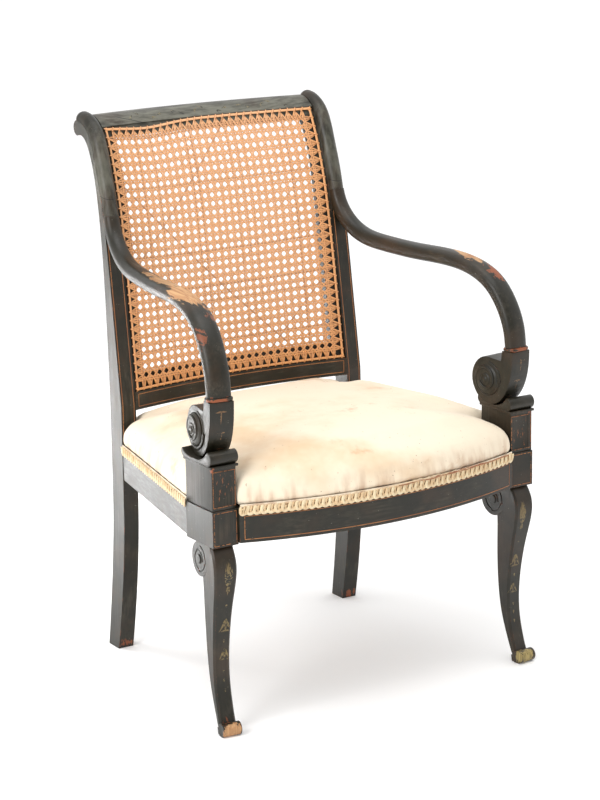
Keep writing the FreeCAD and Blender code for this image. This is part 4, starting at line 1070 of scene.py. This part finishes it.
# Eye of an arm's scroll in mm: forward of the scroll's back, above its foot, out from its middle, and its rings
EYE_FORWARD, EYE_UP, EYE_OUT = 34.0, 38.0, 18.0
EYE_RINGS = (
    (24.5, -1.0), (24.4, 0.6), (22.5, 2.6), (18, 4.4), (11.6, 5.4), (10.6, 4.7), (9.8, 4.6), (8.8, 6.0),
    (7.4, 6.4), (6.4, 5.6), (5.2, 5.2), (4.4, 6.6), (2.6, 7.4), (0.8, 7.6),
)
SCROLL_SPLAY = math.radians(7.66)
# Spiral ridge round the eye: outer radius, how fast it closes, its turns and steps, and the dome it climbs
RIDGE_REACH, RIDGE_CLOSING, RIDGE_TURNS, RIDGE_STEPS = 31.0, 0.105, 1.45, 72
DOME_RADII, DOME_HEIGHTS = (11.6, 18, 22.5, 24.4, 31), (5.4, 4.4, 2.6, 0.6, 0.2)


class CHAIR_OT_wood(ChairPiece, bpy.types.Operator):
    """Paint on the show wood, bare beech inside, and the metal fixings"""
    bl_idname = "chair.wood"
    bl_label = "Wood and metal"

    def execute(self, context):
        s = context.scene.chair_paint
        for side, sign in SIDES:
            finishes = {
                "post_": ("Z", 0.8, mirrored(sign, POST_RUBS), [JOINT_CRACKS[side]]),
                "arm_": ("Y", 0.4, ARM_RUBS[side]),
                "arm_ring_": ("X", 1.6, mirrored(sign, RING_RUBS)),
                "arm_scroll_": ("Z", 0.6),
                "saddle_": ("X", 0.5),
                "arm_block_": ("Z", 1.6, mirrored(sign, BLOCK_RUBS)),
                "front_leg_": ("Z", 1.2, TOE_RUBS[side]),
                "side_rail_": ("Y", 0.8),
            }
            for part, finish in finishes.items():
                paint(part + side, *finish)
            for part, (radius, segments) in ROUNDED.items():
                soften(part + side, radius * MM, segments)
            self.boss(side, sign)
        paint("crest_rail", "X", 0.8, CREST_RUBS, [CREST_CRACK])
        for rail, wear in (("lower_back_rail", 0.8), ("front_rail", 0.9), ("back_seat_rail", 0.7)):
            paint(rail, "X", wear)
        wood = beech("bare_beech")
        for name in NODES:
            if name.startswith("corner_brace") or name == "dowels":
                dress(name, wood)
        dress("brace_screws", old_metal("screw_brass", s.brass, 0.35))
        dress("web_tacks", old_metal("tack_steel", s.steel, 0.45))
        return {"FINISHED"}

    def boss(self, side, sign):
        """Domed eye of an arm's scroll, with its ridge, on both faces of the scroll."""
        low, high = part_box("arm_scroll_" + side)
        paint = NODES["arm_scroll_" + side].data.materials[0]
        place = Vector(((low.x + high.x) / 2 / MM, high.y / MM - EYE_FORWARD, low.z / MM + EYE_UP))
        for number, way in enumerate((-1, 1)):
            label = "%s_%d" % (side, number + 1)
            axis = Vector((way * math.cos(SCROLL_SPLAY), way * sign * math.sin(SCROLL_SPLAY), 0))
            centre = place + axis * EYE_OUT
            turned("scroll_eye_" + label, centre, axis, EYE_RINGS, paint)
            back = Vector((-axis.y, axis.x, 0)) * way
            ridge = []
            for step in range(RIDGE_STEPS + 1):
                turn = -2 * math.pi * RIDGE_TURNS * step / RIDGE_STEPS
                radius = RIDGE_REACH * math.exp(RIDGE_CLOSING * turn)
                rise = float(np.interp(radius, DOME_RADII, DOME_HEIGHTS))
                offset = back * (-radius * math.cos(turn)) + Vector((0, 0, radius * math.sin(turn)))
                ridge.append(((centre + offset + axis * rise) * MM, axis))
            obj = strands("scroll_ridge_" + label, [(ridge, 0.0)], 5.0 * MM, 3.6 * MM, 8, paint)
            settle(obj, "ebonised_wood")


# Gilt lines, in mm: the posts' outer side at the floor and its lean, the lines' insets from it and their heights
POST_OUTER, POST_LEAN = 227, math.tan(math.radians(0.6))
POST_INSETS, POST_HEIGHTS = (3.0, 22.5), range(346, 690, 6)
# The front block from side to side and from its foot to the seat's edge, and the top of the lower rail's flat
BLOCK_INNER, BLOCK_OUTER, BLOCK_FOOT, SEAT_EDGE = 242.5, 284.5, 285, 339
LOWER_RAIL_TOP = 425.5


class CHAIR_OT_gilding(ChairPiece, bpy.types.Operator):
    """Gilt lines on the posts, rails and blocks, and painted leaves on the legs, scrolls and crest"""
    bl_idname = "chair.gilding"
    bl_label = "Gilding"

    def execute(self, context):
        s = context.scene.chair_paint
        lines, faded = [], []
        for side, sign in SIDES:
            post = Face("post_" + side, TO_THE_BACK)
            for inset in POST_INSETS:
                run = [(sign * (POST_OUTER - z * POST_LEAN - inset), 0, z) for z in POST_HEIGHTS]
                lines.append(gilt_line(post, run))
            low, high = (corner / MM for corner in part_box("arm_block_" + side))
            faded.append(self.border("arm_block_" + side, low.x, high.x, low.z, high.z, (4.6, 5.2, 4.6, 8.6)))
            left, right = sorted((sign * BLOCK_OUTER, sign * BLOCK_INNER))
            faded.append(self.border("front_leg_" + side, left, right, BLOCK_FOOT, SEAT_EDGE, (2.6, 3, 2.6, 3)))
        low, high = (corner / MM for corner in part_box("lower_back_rail"))
        lines.append(self.border("lower_back_rail", low.x, high.x, low.z, LOWER_RAIL_TOP, (6, 5, 6, 5)))
        foot = (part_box("front_rail")[0] / MM).z
        lines.append(self.border("front_rail", -BLOCK_INNER, BLOCK_INNER, foot, SEAT_EDGE, (7, 5, 7, 12)))
        for name, runs, lost in (("gilt_lines", lines, 0.1), ("worn_lines", faded, 0.5)):
            finish = gilding(name, lost, s.gilt, GILT_SHADE)
            made = [(points, 0.5) for points in runs if len(points) > 1]
            settle(strands(name, made, s.line_width, 0.16 * MM, 4, finish), "ebonised_wood")
        olive = gilding("old_gold_leaves", 0.5, s.olive, OLD_GOLD_SHADE)
        faint = gilding("faint_leaves", 0.5, tint(128, 96, 62), tint(104, 76, 48))
        for side, sign in SIDES:
            leaves("leg_leaves_" + side, "front_leg_" + side, self.pendant(sign), olive)
            leaves("scroll_leaves_" + side, "arm_scroll_" + side, self.sprig(sign), faint)
        pale = gilding("crest_gold", 0.6, tint(128, 122, 96), tint(112, 98, 68))
        leaves("crest_leaves", "crest_rail", self.spray(), pale)
        return {"FINISHED"}

    def border(self, node, left, right, foot, top, insets):
        """Gilt rectangle on the front of a node: insets left, bottom, right and top, all in mm."""
        x0, z0, x1, z1 = left + insets[0], foot + insets[1], right - insets[2], top - insets[3]
        corners = [(x0, 0, z0), (x1, 0, z0), (x1, 0, z1), (x0, 0, z1), (x0, 0, z0)]
        return gilt_line(Face(node, TO_THE_BACK), corners)

    def pendant(self, sign):
        """Palmette, two husks and a fall of beads down the front of a leg."""
        drawings = []
        top = (sign * 263, 0, 226)
        for angle, long, wide, bend in ((0, 38, 5, 0), (9, 36, 4.6, 3.5), (19, 30, 4.4, 5), (31, 22, 4, 6)):
            for way in (1, -1) if angle else (1,):
                drawings.append((top, way * angle, long, wide, way * bend))
        for angle, long, wide in ((180, 14, 3.6), (162, 10, 3.0)):
            for way in (1, -1) if angle < 180 else (1,):
                drawings.append((top, way * angle, long, wide, 0))
        for z, size in ((174, 1.0), (127, 0.88)):
            start = (sign * 261, 0, z)
            drawings.append((start, 180, 22 * size, 5 * size, 0))
            for way in (1, -1):
                drawings.append((start, way * 166, 23 * size, 4.6 * size, way * 5 * size))
                drawings.append(((sign * 261, 0, z - 19 * size), way * 100, 8 * size, 2.6 * size, 0))
        for z in (197, 141, 93, 80, 66):
            drawings.append(((sign * 262.5, 0, z), 180, 6, 3, 0))
        return drawings

    def sprig(self, sign):
        """Small sprays up the front of a scroll's stem."""
        drawings = []
        for x, z, size in ((264, 484, 1.0), (261, 452, 0.8), (257, 425, 0.7)):
            drawings.append(((sign * x, 0, z), 180, 20 * size, 2.2 * size, 0))
            for way in (1, -1):
                drawings.append(((sign * x, 0, z), way * 112, 9 * size, 2.6 * size, way * 2.0))
        return drawings

    def spray(self):
        """Row of small leaves along the crest, bent to and fro."""
        drawings = []
        for i in range(15):
            place = (-134 + 20 * i, 0, 836 + 3 * math.sin(i * 2.1))
            drawings.append((place, 78 if i % 2 else -82, 9, 1.8, 2.5 if i % 3 else -2.5))
            drawings.append((place, 40 if i % 2 else -140, 4, 1.4, 1.0))
        return drawings


class CHAIR_OT_cane(ChairPiece, bpy.types.Operator):
    """Woven cane, its binder strips and their stitches"""
    bl_idname = "chair.cane"
    bl_label = "Cane back"

    def execute(self, context):
        s = context.scene.chair_cane
        panel = CanePanel()
        finish = cane_finish("split_cane")
        sets = {
            "cane_uprights": (pair_lines(panel, True), s.strand_width),
            "cane_crossings": (pair_lines(panel, False), s.row_width),
            "cane_rising_diagonals": (diagonal_lines(panel, True), s.diagonal_width),
            "cane_falling_diagonals": (diagonal_lines(panel, False), s.diagonal_width),
        }
        for name, (lines, width) in sets.items():
            obj = strands(name, lines, width, s.strand_thickness, 6, finish)
            settle(obj, "cane", "cane_panel")
        stitches = stitch_tree()
        for edge, holes in binder_edges(panel).items():
            line = []
            for a, b in zip(holes, holes[1:]):
                for share in (0.0, 0.5):
                    line.append(panel.at(a[0] + (b[0] - a[0]) * share, a[1] + (b[1] - a[1]) * share, 1.5 * MM))
            line.append(panel.at(*holes[-1], 1.5 * MM))
            strip = strands("cane_binder_strip_" + edge, [(line, 0.2)], s.binder_width, 0.9 * MM, 8, finish)
            settle(strip, "cane", "cane_binder_" + edge)
            points = stitch_points(panel, holes, 0.9 * MM)
            sewn = grow("binder_stitches_" + edge, points, stitches, {
                "Width": s.strand_width, "Thickness": s.strand_thickness, "Sides": 6, "Material": finish,
                "Length": s.binder_width + 3.2 * MM, "Height": 1.6 * MM,
            })
            settle(sewn, "cane")
        return {"FINISHED"}


STRAPS = ("webbing_across", "webbing_along")
# Straps, in mm: widest strap, least gap or width that tells two apart, reach and height of an over or under
STRAP_MOST, STRAP_LEAST, STRAP_WAVE, STRAP_LIFT = 51.5, 40, 45, 0.8
STRAP_STEPS, STRAP_ROWS = 64, 4
CLOTH_STEPS = 60


class CHAIR_OT_under_seat(ChairPiece, bpy.types.Operator):
    """Jute webbing and the hessian over it"""
    bl_idname = "chair.under_seat"
    bl_label = "Webbing and hessian"

    def execute(self, context):
        s = context.scene.chair_seat
        jute = coarse_weave("jute_webbing", s.jute, 400.0)
        for axis, node in enumerate(STRAPS):
            self.straps(node, STRAPS[1 - axis], jute, axis)
        self.base_cloth(coarse_weave("hessian", s.hessian, 260.0))
        return {"FINISHED"}

    def base_cloth(self, material):
        """Hessian over the straps, as far as the CAD's goes."""
        low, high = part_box("hessian")
        tree = caster("hessian")
        bm = bmesh.new()
        grid = {}
        for i in range(CLOTH_STEPS + 1):
            for j in range(CLOTH_STEPS + 1):
                x = low.x + (high.x - low.x) * i / CLOTH_STEPS
                y = low.y + (high.y - low.y) * j / CLOTH_STEPS
                if tree.ray_cast(Vector((x, y, 1)), Vector((0, 0, -1)))[0] is not None:
                    dip = 0.25 * MM * noise.noise(Vector((x * 30, y * 30, 0)))
                    grid[i, j] = bm.verts.new((x, y, (low.z + high.z) / 2 + dip))
        for i in range(CLOTH_STEPS):
            for j in range(CLOTH_STEPS):
                square = [(i, j), (i + 1, j), (i + 1, j + 1), (i, j + 1)]
                if all(k in grid for k in square):
                    bm.faces.new([grid[k] for k in square])
        for lone in [v for v in bm.verts if not v.link_faces]:
            bm.verts.remove(lone)
        area = sum(face.calc_area() for face in bm.faces)
        cloth = shaped("base_cloth", bm, material)
        wall(cloth, 0.6 * MM)
        settle(cloth, "hessian_cloth", "hessian")

    def straps(self, node, other, material, axis):
        """Straps of one direction, woven over and under those of the other."""
        points = points_of(node)
        places = self.places(node, axis)
        crossings = [(a + b) / 2 for a, b in self.places(other, 1 - axis)]
        level = (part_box(STRAPS[0])[1].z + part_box(STRAPS[1])[0].z) / 2
        bm = bmesh.new()
        length = 0.0
        for n, (low, high) in enumerate(places):
            ends = [c[axis] for c in points if low - MM <= c[1 - axis] <= high + MM]
            start, stop = min(ends), max(ends)
            length = max(length, stop - start)
            previous = None
            for i in range(STRAP_STEPS + 1):
                along = start + (stop - start) * i / STRAP_STEPS
                lift = 0.0
                for m, crossing in enumerate(crossings):
                    near = abs(along - crossing) / (STRAP_WAVE * MM)
                    if near < 1:
                        over = 1 if (m + n + axis) % 2 else -1
                        lift += over * STRAP_LIFT * MM * math.cos(near * math.pi / 2)
                row = []
                for k in range(STRAP_ROWS + 1):
                    side = low + (high - low) * k / STRAP_ROWS
                    place = (along, side) if axis == 0 else (side, along)
                    row.append(bm.verts.new((*place, level + lift)))
                if previous:
                    for k in range(STRAP_ROWS):
                        square = (previous[k], row[k], row[k + 1], previous[k + 1])
                        bm.faces.new(square if axis == 0 else square[::-1])
                previous = row
        obj = shaped(node.replace("webbing", "webbing_straps"), bm, material)
        wall(obj, 1.2 * MM)
        settle(obj, "jute_web", node)

    def places(self, node, axis):
        """Low and high side of each strap of a node, measured on the frame."""
        values = sorted({round(c[1 - axis], 4) for c in points_of(node)})
        runs = []
        for value in values:
            if runs and value - runs[-1][1] < 0.05 and value - runs[-1][0] < STRAP_MOST * MM:
                runs[-1][1] = value
            else:
                runs.append([value, value])
        return [(a, b) for a, b in runs if b - a > STRAP_LEAST * MM]


# Seat, in mm above the pad's foot: the cloth is held below, shrunk above, tucked and gathered below
HELD_BELOW, SHRUNK_ABOVE, TUCK_REACH, GATHER_REACH = 10, 12, 14, 38
SHRINK, TUCK_DROP, CLEARANCE = 2.0, 3.9, 0.5
SWELL_FRAMES = 20
# Shape of the roll over the rails, and how close together and how upright the gathers are
ROLL_FULLNESS, GATHERS, GATHER_RISE = 0.45, 130, 14


class CHAIR_OT_seat(ChairPiece, bpy.types.Operator):
    """Stuffed seat, swollen by simulation under its cover"""
    bl_idname = "chair.seat"
    bl_label = "Seat"

    def execute(self, context):
        s = context.scene.chair_seat
        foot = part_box("seat_pad")[0].z
        bm = merged("seat_pad")
        bmesh.ops.recalc_face_normals(bm, faces=bm.faces)
        pad = shaped("seat_cover", bm)
        remesh = pad.modifiers.new("remesh", "REMESH")
        remesh.mode = "VOXEL"
        remesh.voxel_size = s.voxel
        remesh.use_smooth_shade = True
        apply_modifiers(pad)
        self.swell(context, pad, s, foot)
        even = pad.modifiers.new("smooth", "SMOOTH")
        even.iterations = 3
        finer = pad.modifiers.new("finer", "SUBSURF")
        finer.levels = 1
        finer.render_levels = 1
        apply_modifiers(pad)
        self.tuck(pad, foot)
        self.bulge(pad, s, foot)
        self.gather(pad, s, foot)
        self.keep_out(pad, CLEARANCE * MM)
        pad.data.materials.append(cover_cloth("ivory_cover"))
        smooth(pad.data)
        settle(pad, "seat_cloth", "seat_pad")
        return {"FINISHED"}

    def swell(self, context, pad, s, foot):
        """Blow the cover up under pressure from a slightly smaller shape, no further than the cap."""
        rest = np.array([v.co for v in pad.data.vertices])
        for vertex, co, normal in self.surface(pad):
            if co.z > foot + SHRUNK_ABOVE * MM:
                vertex.co = co - normal * SHRINK * MM
        held = pad.vertex_groups.new(name="held")
        for vertex in pad.data.vertices:
            if vertex.co.z < foot + HELD_BELOW * MM:
                held.add([vertex.index], 1.0, "REPLACE")
        cloth = pad.modifiers.new("swell", "CLOTH").settings
        cloth.quality = 4
        cloth.use_pressure = True
        cloth.uniform_pressure_force = s.pressure
        cloth.vertex_group_mass = "held"
        cloth.effector_weights.gravity = 0.0
        cloth.tension_stiffness = 30
        cloth.bending_stiffness = 0.6
        for number in range(1, SWELL_FRAMES + 1):
            context.scene.frame_set(number)
        made = apply_modifiers(pad)
        pad.vertex_groups.clear()
        moved = np.array([v.co for v in made.vertices]) - rest
        far = np.linalg.norm(moved, axis=1, keepdims=True)
        moved *= np.minimum(1.0, s.cap / np.maximum(far, 1e-9))
        made.vertices.foreach_set("co", (rest + moved).astype(np.float32).ravel())
        context.scene.frame_set(1)

    def surface(self, pad):
        """Every vertex with its place and normal, read before any is moved."""
        return [(v, v.co.copy(), v.normal.copy()) for v in pad.data.vertices]

    def tuck(self, pad, foot):
        """Draw the cover's rim down past the webbing on to the rails."""
        base = caster("hessian")
        reach = TUCK_REACH * MM
        for vertex in pad.data.vertices:
            height = vertex.co.z - foot
            if height > reach:
                continue
            below = base.ray_cast(Vector((vertex.co.x, vertex.co.y, 1.0)), Vector((0, 0, -1)))[0]
            if below is None:
                vertex.co.z -= TUCK_DROP * MM * (1 - max(0.0, height) / reach)

    def bulge(self, pad, s, foot):
        """Let the stuffing roll out over the rails a little above the braid."""
        for vertex, co, normal in self.surface(pad):
            share = (co.z - foot) / s.roll_height
            if 0 < share < 1:
                out = Vector((normal.x, normal.y, 0))
                vertex.co = co + out * s.roll * math.sin(math.pi * share) ** ROLL_FULLNESS

    def gather(self, pad, s, foot):
        """Small upright gathers where the cloth is drawn to its tacks."""
        for vertex, co, normal in self.surface(pad):
            fall = max(0.0, 1 - (co.z - foot) / (GATHER_REACH * MM))
            if fall <= 0 or normal.z < -0.5:
                continue
            run = co.x if abs(normal.y) > abs(normal.x) else co.y
            deep = noise.noise(Vector((run * GATHERS, co.z * GATHER_RISE, 2.0)))
            vertex.co = co + normal * deep * s.pucker * fall ** 0.7

    def keep_out(self, pad, clearance):
        """Press the cover back where it would run into the wood round it."""
        names = [n for n in NODES if n.startswith(("post_", "arm_block_", "saddle_")) or n == "lower_back_rail"]
        for name in names:
            wood = caster(name)
            corner, end = (np.array(c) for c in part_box(name))
            points = np.array([v.co for v in pad.data.vertices])
            beside = np.all((points > corner - 2 * MM) & (points < end + 2 * MM), axis=1)
            for index in np.flatnonzero(beside):
                vertex = pad.data.vertices[int(index)]
                place, normal, _, far = wood.find_nearest(vertex.co, 12 * MM)
                if place is None:
                    continue
                inside = (vertex.co - place).dot(normal) < 0
                if inside or far < clearance:
                    vertex.co = place + normal * clearance


# Cords of the braid: end of the name, phase, mm forward, width and thickness to the cord's, sides, shade
CORDS = (("", 0.0, 0.6, 2.0, 1.0, 8, 0.0), ("_arches", math.pi, -0.5, 1.25, 0.8, 7, 0.45))
LOOP_STEPS = 16
# How far the cord leans back and forth within a loop, as shares of the loop's length
LOOP_LEAN, LOOP_SHIFT = 0.30, 0.16
SINK = 1.2 * MM  # middle of the braid behind the CAD braid's face
BOW_STEPS = 200
RUN_STEPS = 60
# Torn strips and threads: piece, first and last share of the run, level, drift and seed of the drift
TORN = (
    ("torn_edge", 0.50, 0.97, 0.60, 0.10, 4.0),
    ("torn_edge", 0.62, 0.84, 0.70, 0.14, 9.0),
    ("loose_threads", 0.34, 0.78, 0.66, 0.22, 14.0),
    ("loose_threads", 0.55, 0.72, 0.80, 0.30, 21.0),
    ("loose_threads", 0.0, 0.02, 0.10, 1.10, 33.0),
)


class CHAIR_OT_braid(ChairPiece, bpy.types.Operator):
    """Looped braid that hides the tacked edge"""
    bl_idname = "chair.braid"
    bl_label = "Braid"

    def execute(self, context):
        s = context.scene.chair_braid
        material = thread("braid_thread", s.pale, s.gold)
        # Painted shade: the dark brown of the strip behind the loops stands for the shade in the gaps between them.
        ground = thread("braid_ground", tint(150, 108, 66), tint(84, 58, 36))
        cover = cover_cloth("tacked_edge")
        for name, path in self.runs().items():
            label = name.replace("gimp", "braid")
            for end, phase, forward, width, thickness, sides, shade in CORDS:
                cord = [(self.loops(path, phase, forward * MM), shade)]
                obj = strands(label + end, cord, s.cord * width, s.cord * thickness, sides, material)
                settle(obj, "gimp_braid", *([] if end else [name]))
            # Dark strips behind the loops, painted as the shade between them.
            core = [(self.straight(path, level), 0.8) for level in (-0.24, 0.0, 0.24)]
            obj = strands(label + "_ground", core, s.height * 0.27, 0.8 * MM, 6, ground)
            settle(obj, "gimp_braid")
            edge = [(self.straight(path, 0.30, -0.9 * MM), 0.2)]
            obj = strands(name.replace("gimp", "tacked_edge"), edge, s.height * 0.8, 0.8 * MM, 8, cover)
            settle(obj, "seat_cloth")
            if name == "gimp_front":
                self.torn(path)
        return {"FINISHED"}

    def torn(self, path):
        """Torn ground cloth and loose threads that show over the front braid."""
        s = bpy.context.scene.chair_braid
        brown = thread("torn_cloth", tint(176, 120, 84), tint(120, 70, 46))
        pale = thread("loose_thread", s.pale, tint(214, 184, 140))
        sets = {"torn_edge": [], "loose_threads": []}
        for name, first, last, level, drift, seed in TORN:
            points = []
            for k in range(RUN_STEPS + 1):
                place, out, _ = self.walk(path, first + (last - first) * k / RUN_STEPS)
                up = level + drift * noise.noise(Vector((k * 0.16, seed, 1.0)))
                proud = (3.2 + 0.7 * noise.noise(Vector((k * 0.21, seed, 5.0)))) * MM
                points.append((place + Vector((0, 0, up * s.height)) + out * proud, out))
            sets[name].append((points, 0.4))
        for name, width, material in (("torn_edge", 1.9 * MM, brown), ("loose_threads", 0.8 * MM, pale)):
            settle(strands(name, sets[name], width, 0.7 * MM, 6, material), "gimp_braid")

    def runs(self):
        """Path of each braid: a list of points along the rail, with the way out, at the braid's middle."""
        found = {}
        for name in ("gimp_front", "gimp_left", "gimp_right", "gimp_back"):
            low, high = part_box(name)
            middle = (low.z + high.z) / 2
            if name == "gimp_front":
                found[name] = self.bow(points_of(name), low.y, high.x, middle)
            elif name == "gimp_back":
                found[name] = [(Vector((x, low.y + MM, middle)), Vector((0, 1, 0))) for x in (low.x, high.x)]
            else:
                sign = -1 if name == "gimp_left" else 1
                ends = []
                for edge in (low.y, high.y):
                    x = max(abs(c.x) for c in points_of(name) if abs(c.y - edge) < 2 * MM)
                    ends.append(Vector((sign * x, edge, middle)))
                way = (ends[1] - ends[0]).normalized()
                out = Vector((way.y, -way.x, 0)) * sign
                found[name] = [(end - out * SINK, out) for end in ends]
        return found

    def bow(self, points, front, half, middle):
        """Arc of the front rail through its foremost point and its two ends."""
        depth = min(c.y for c in points if c.x > half - MM) - front
        radius = (half ** 2 + depth ** 2) / (2 * depth)
        reach = math.asin(half / radius)
        path = []
        for i in range(BOW_STEPS + 1):
            turn = -reach + 2 * reach * i / BOW_STEPS
            out = Vector((math.sin(turn), -math.cos(turn), 0))
            path.append((Vector((0, front + radius, middle)) + out * (radius - SINK), out))
        return path

    def walk(self, path, share):
        """Point and way out at a share of a path's length."""
        lengths = [0.0]
        for (a, _), (b, _) in zip(path, path[1:]):
            lengths.append(lengths[-1] + (b - a).length)
        want = min(max(share, 0.0), 1.0) * lengths[-1]
        i = min(len(path) - 2, int(np.searchsorted(lengths, want, side="right")) - 1)
        part = (want - lengths[i]) / (lengths[i + 1] - lengths[i])
        (a, out_a), (b, out_b) = path[i], path[i + 1]
        return a.lerp(b, part), out_a.lerp(out_b, part).normalized(), lengths[-1]

    def loops(self, path, phase, forward):
        """Cord that loops over itself at the top and bottom edge of the braid."""
        s = bpy.context.scene.chair_braid
        _, _, total = self.walk(path, 0)
        count = max(1, round(total / s.pitch))
        points = []
        half = s.height / 2 - s.cord / 2
        for k in range(count * LOOP_STEPS + 1):
            angle = 2 * math.pi * k / LOOP_STEPS + phase
            share = k / (count * LOOP_STEPS)
            share += (LOOP_SHIFT * math.cos(angle) - LOOP_LEAN * math.sin(angle)) / count
            place, out, _ = self.walk(path, share)
            level = half * math.cos(angle) * (1 + 0.08 * noise.noise(Vector((share * 90, phase, 3))))
            proud = (0.6 + 0.8 * math.sin(angle)) * MM + forward
            points.append((place + Vector((0, 0, level)) + out * proud, out))
        return points

    def straight(self, path, level, proud=-0.2 * MM):
        """Strip that runs along the braid at a share of its height from its middle."""
        s = bpy.context.scene.chair_braid
        points = []
        for k in range(RUN_STEPS + 1):
            place, out, _ = self.walk(path, k / RUN_STEPS)
            points.append((place + Vector((0, 0, level * s.height)) + out * proud, out))
        return points


class CHAIR_PT_panel(bpy.types.Panel):
    """Lists the chair's groups of pieces"""
    bl_label = "Cane-back armchair"
    bl_idname = "CHAIR_PT_panel"
    bl_space_type = "VIEW_3D"
    bl_region_type = "UI"
    bl_category = "Chair"

    def draw(self, context):
        for operator in OPERATORS:
            self.layout.operator(operator.bl_idname)


SETTINGS = {
    "chair_paint": PaintSettings,
    "chair_cane": CaneSettings,
    "chair_seat": SeatSettings,
    "chair_braid": BraidSettings,
    "chair_studio": StudioSettings,
}
OPERATORS = (
    CHAIR_OT_studio,
    CHAIR_OT_wood,
    CHAIR_OT_gilding,
    CHAIR_OT_cane,
    CHAIR_OT_under_seat,
    CHAIR_OT_seat,
    CHAIR_OT_braid,
)


def register():
    for name, settings in SETTINGS.items():
        bpy.utils.register_class(settings)
        setattr(bpy.types.Scene, name, PointerProperty(type=settings))
    for operator in OPERATORS:
        bpy.utils.register_class(operator)
    bpy.utils.register_class(CHAIR_PT_panel)


def unregister():
    bpy.utils.unregister_class(CHAIR_PT_panel)
    for operator in reversed(OPERATORS):
        bpy.utils.unregister_class(operator)
    for name, settings in SETTINGS.items():
        delattr(bpy.types.Scene, name)
        bpy.utils.unregister_class(settings)


def main():
    register()
    bpy.ops.chair.studio()
    bpy.ops.chair.wood()
    bpy.ops.chair.gilding()
    bpy.ops.chair.cane()
    bpy.ops.chair.under_seat()
    bpy.ops.chair.seat()
    bpy.ops.chair.braid()


if __name__ == "__main__":
    main()
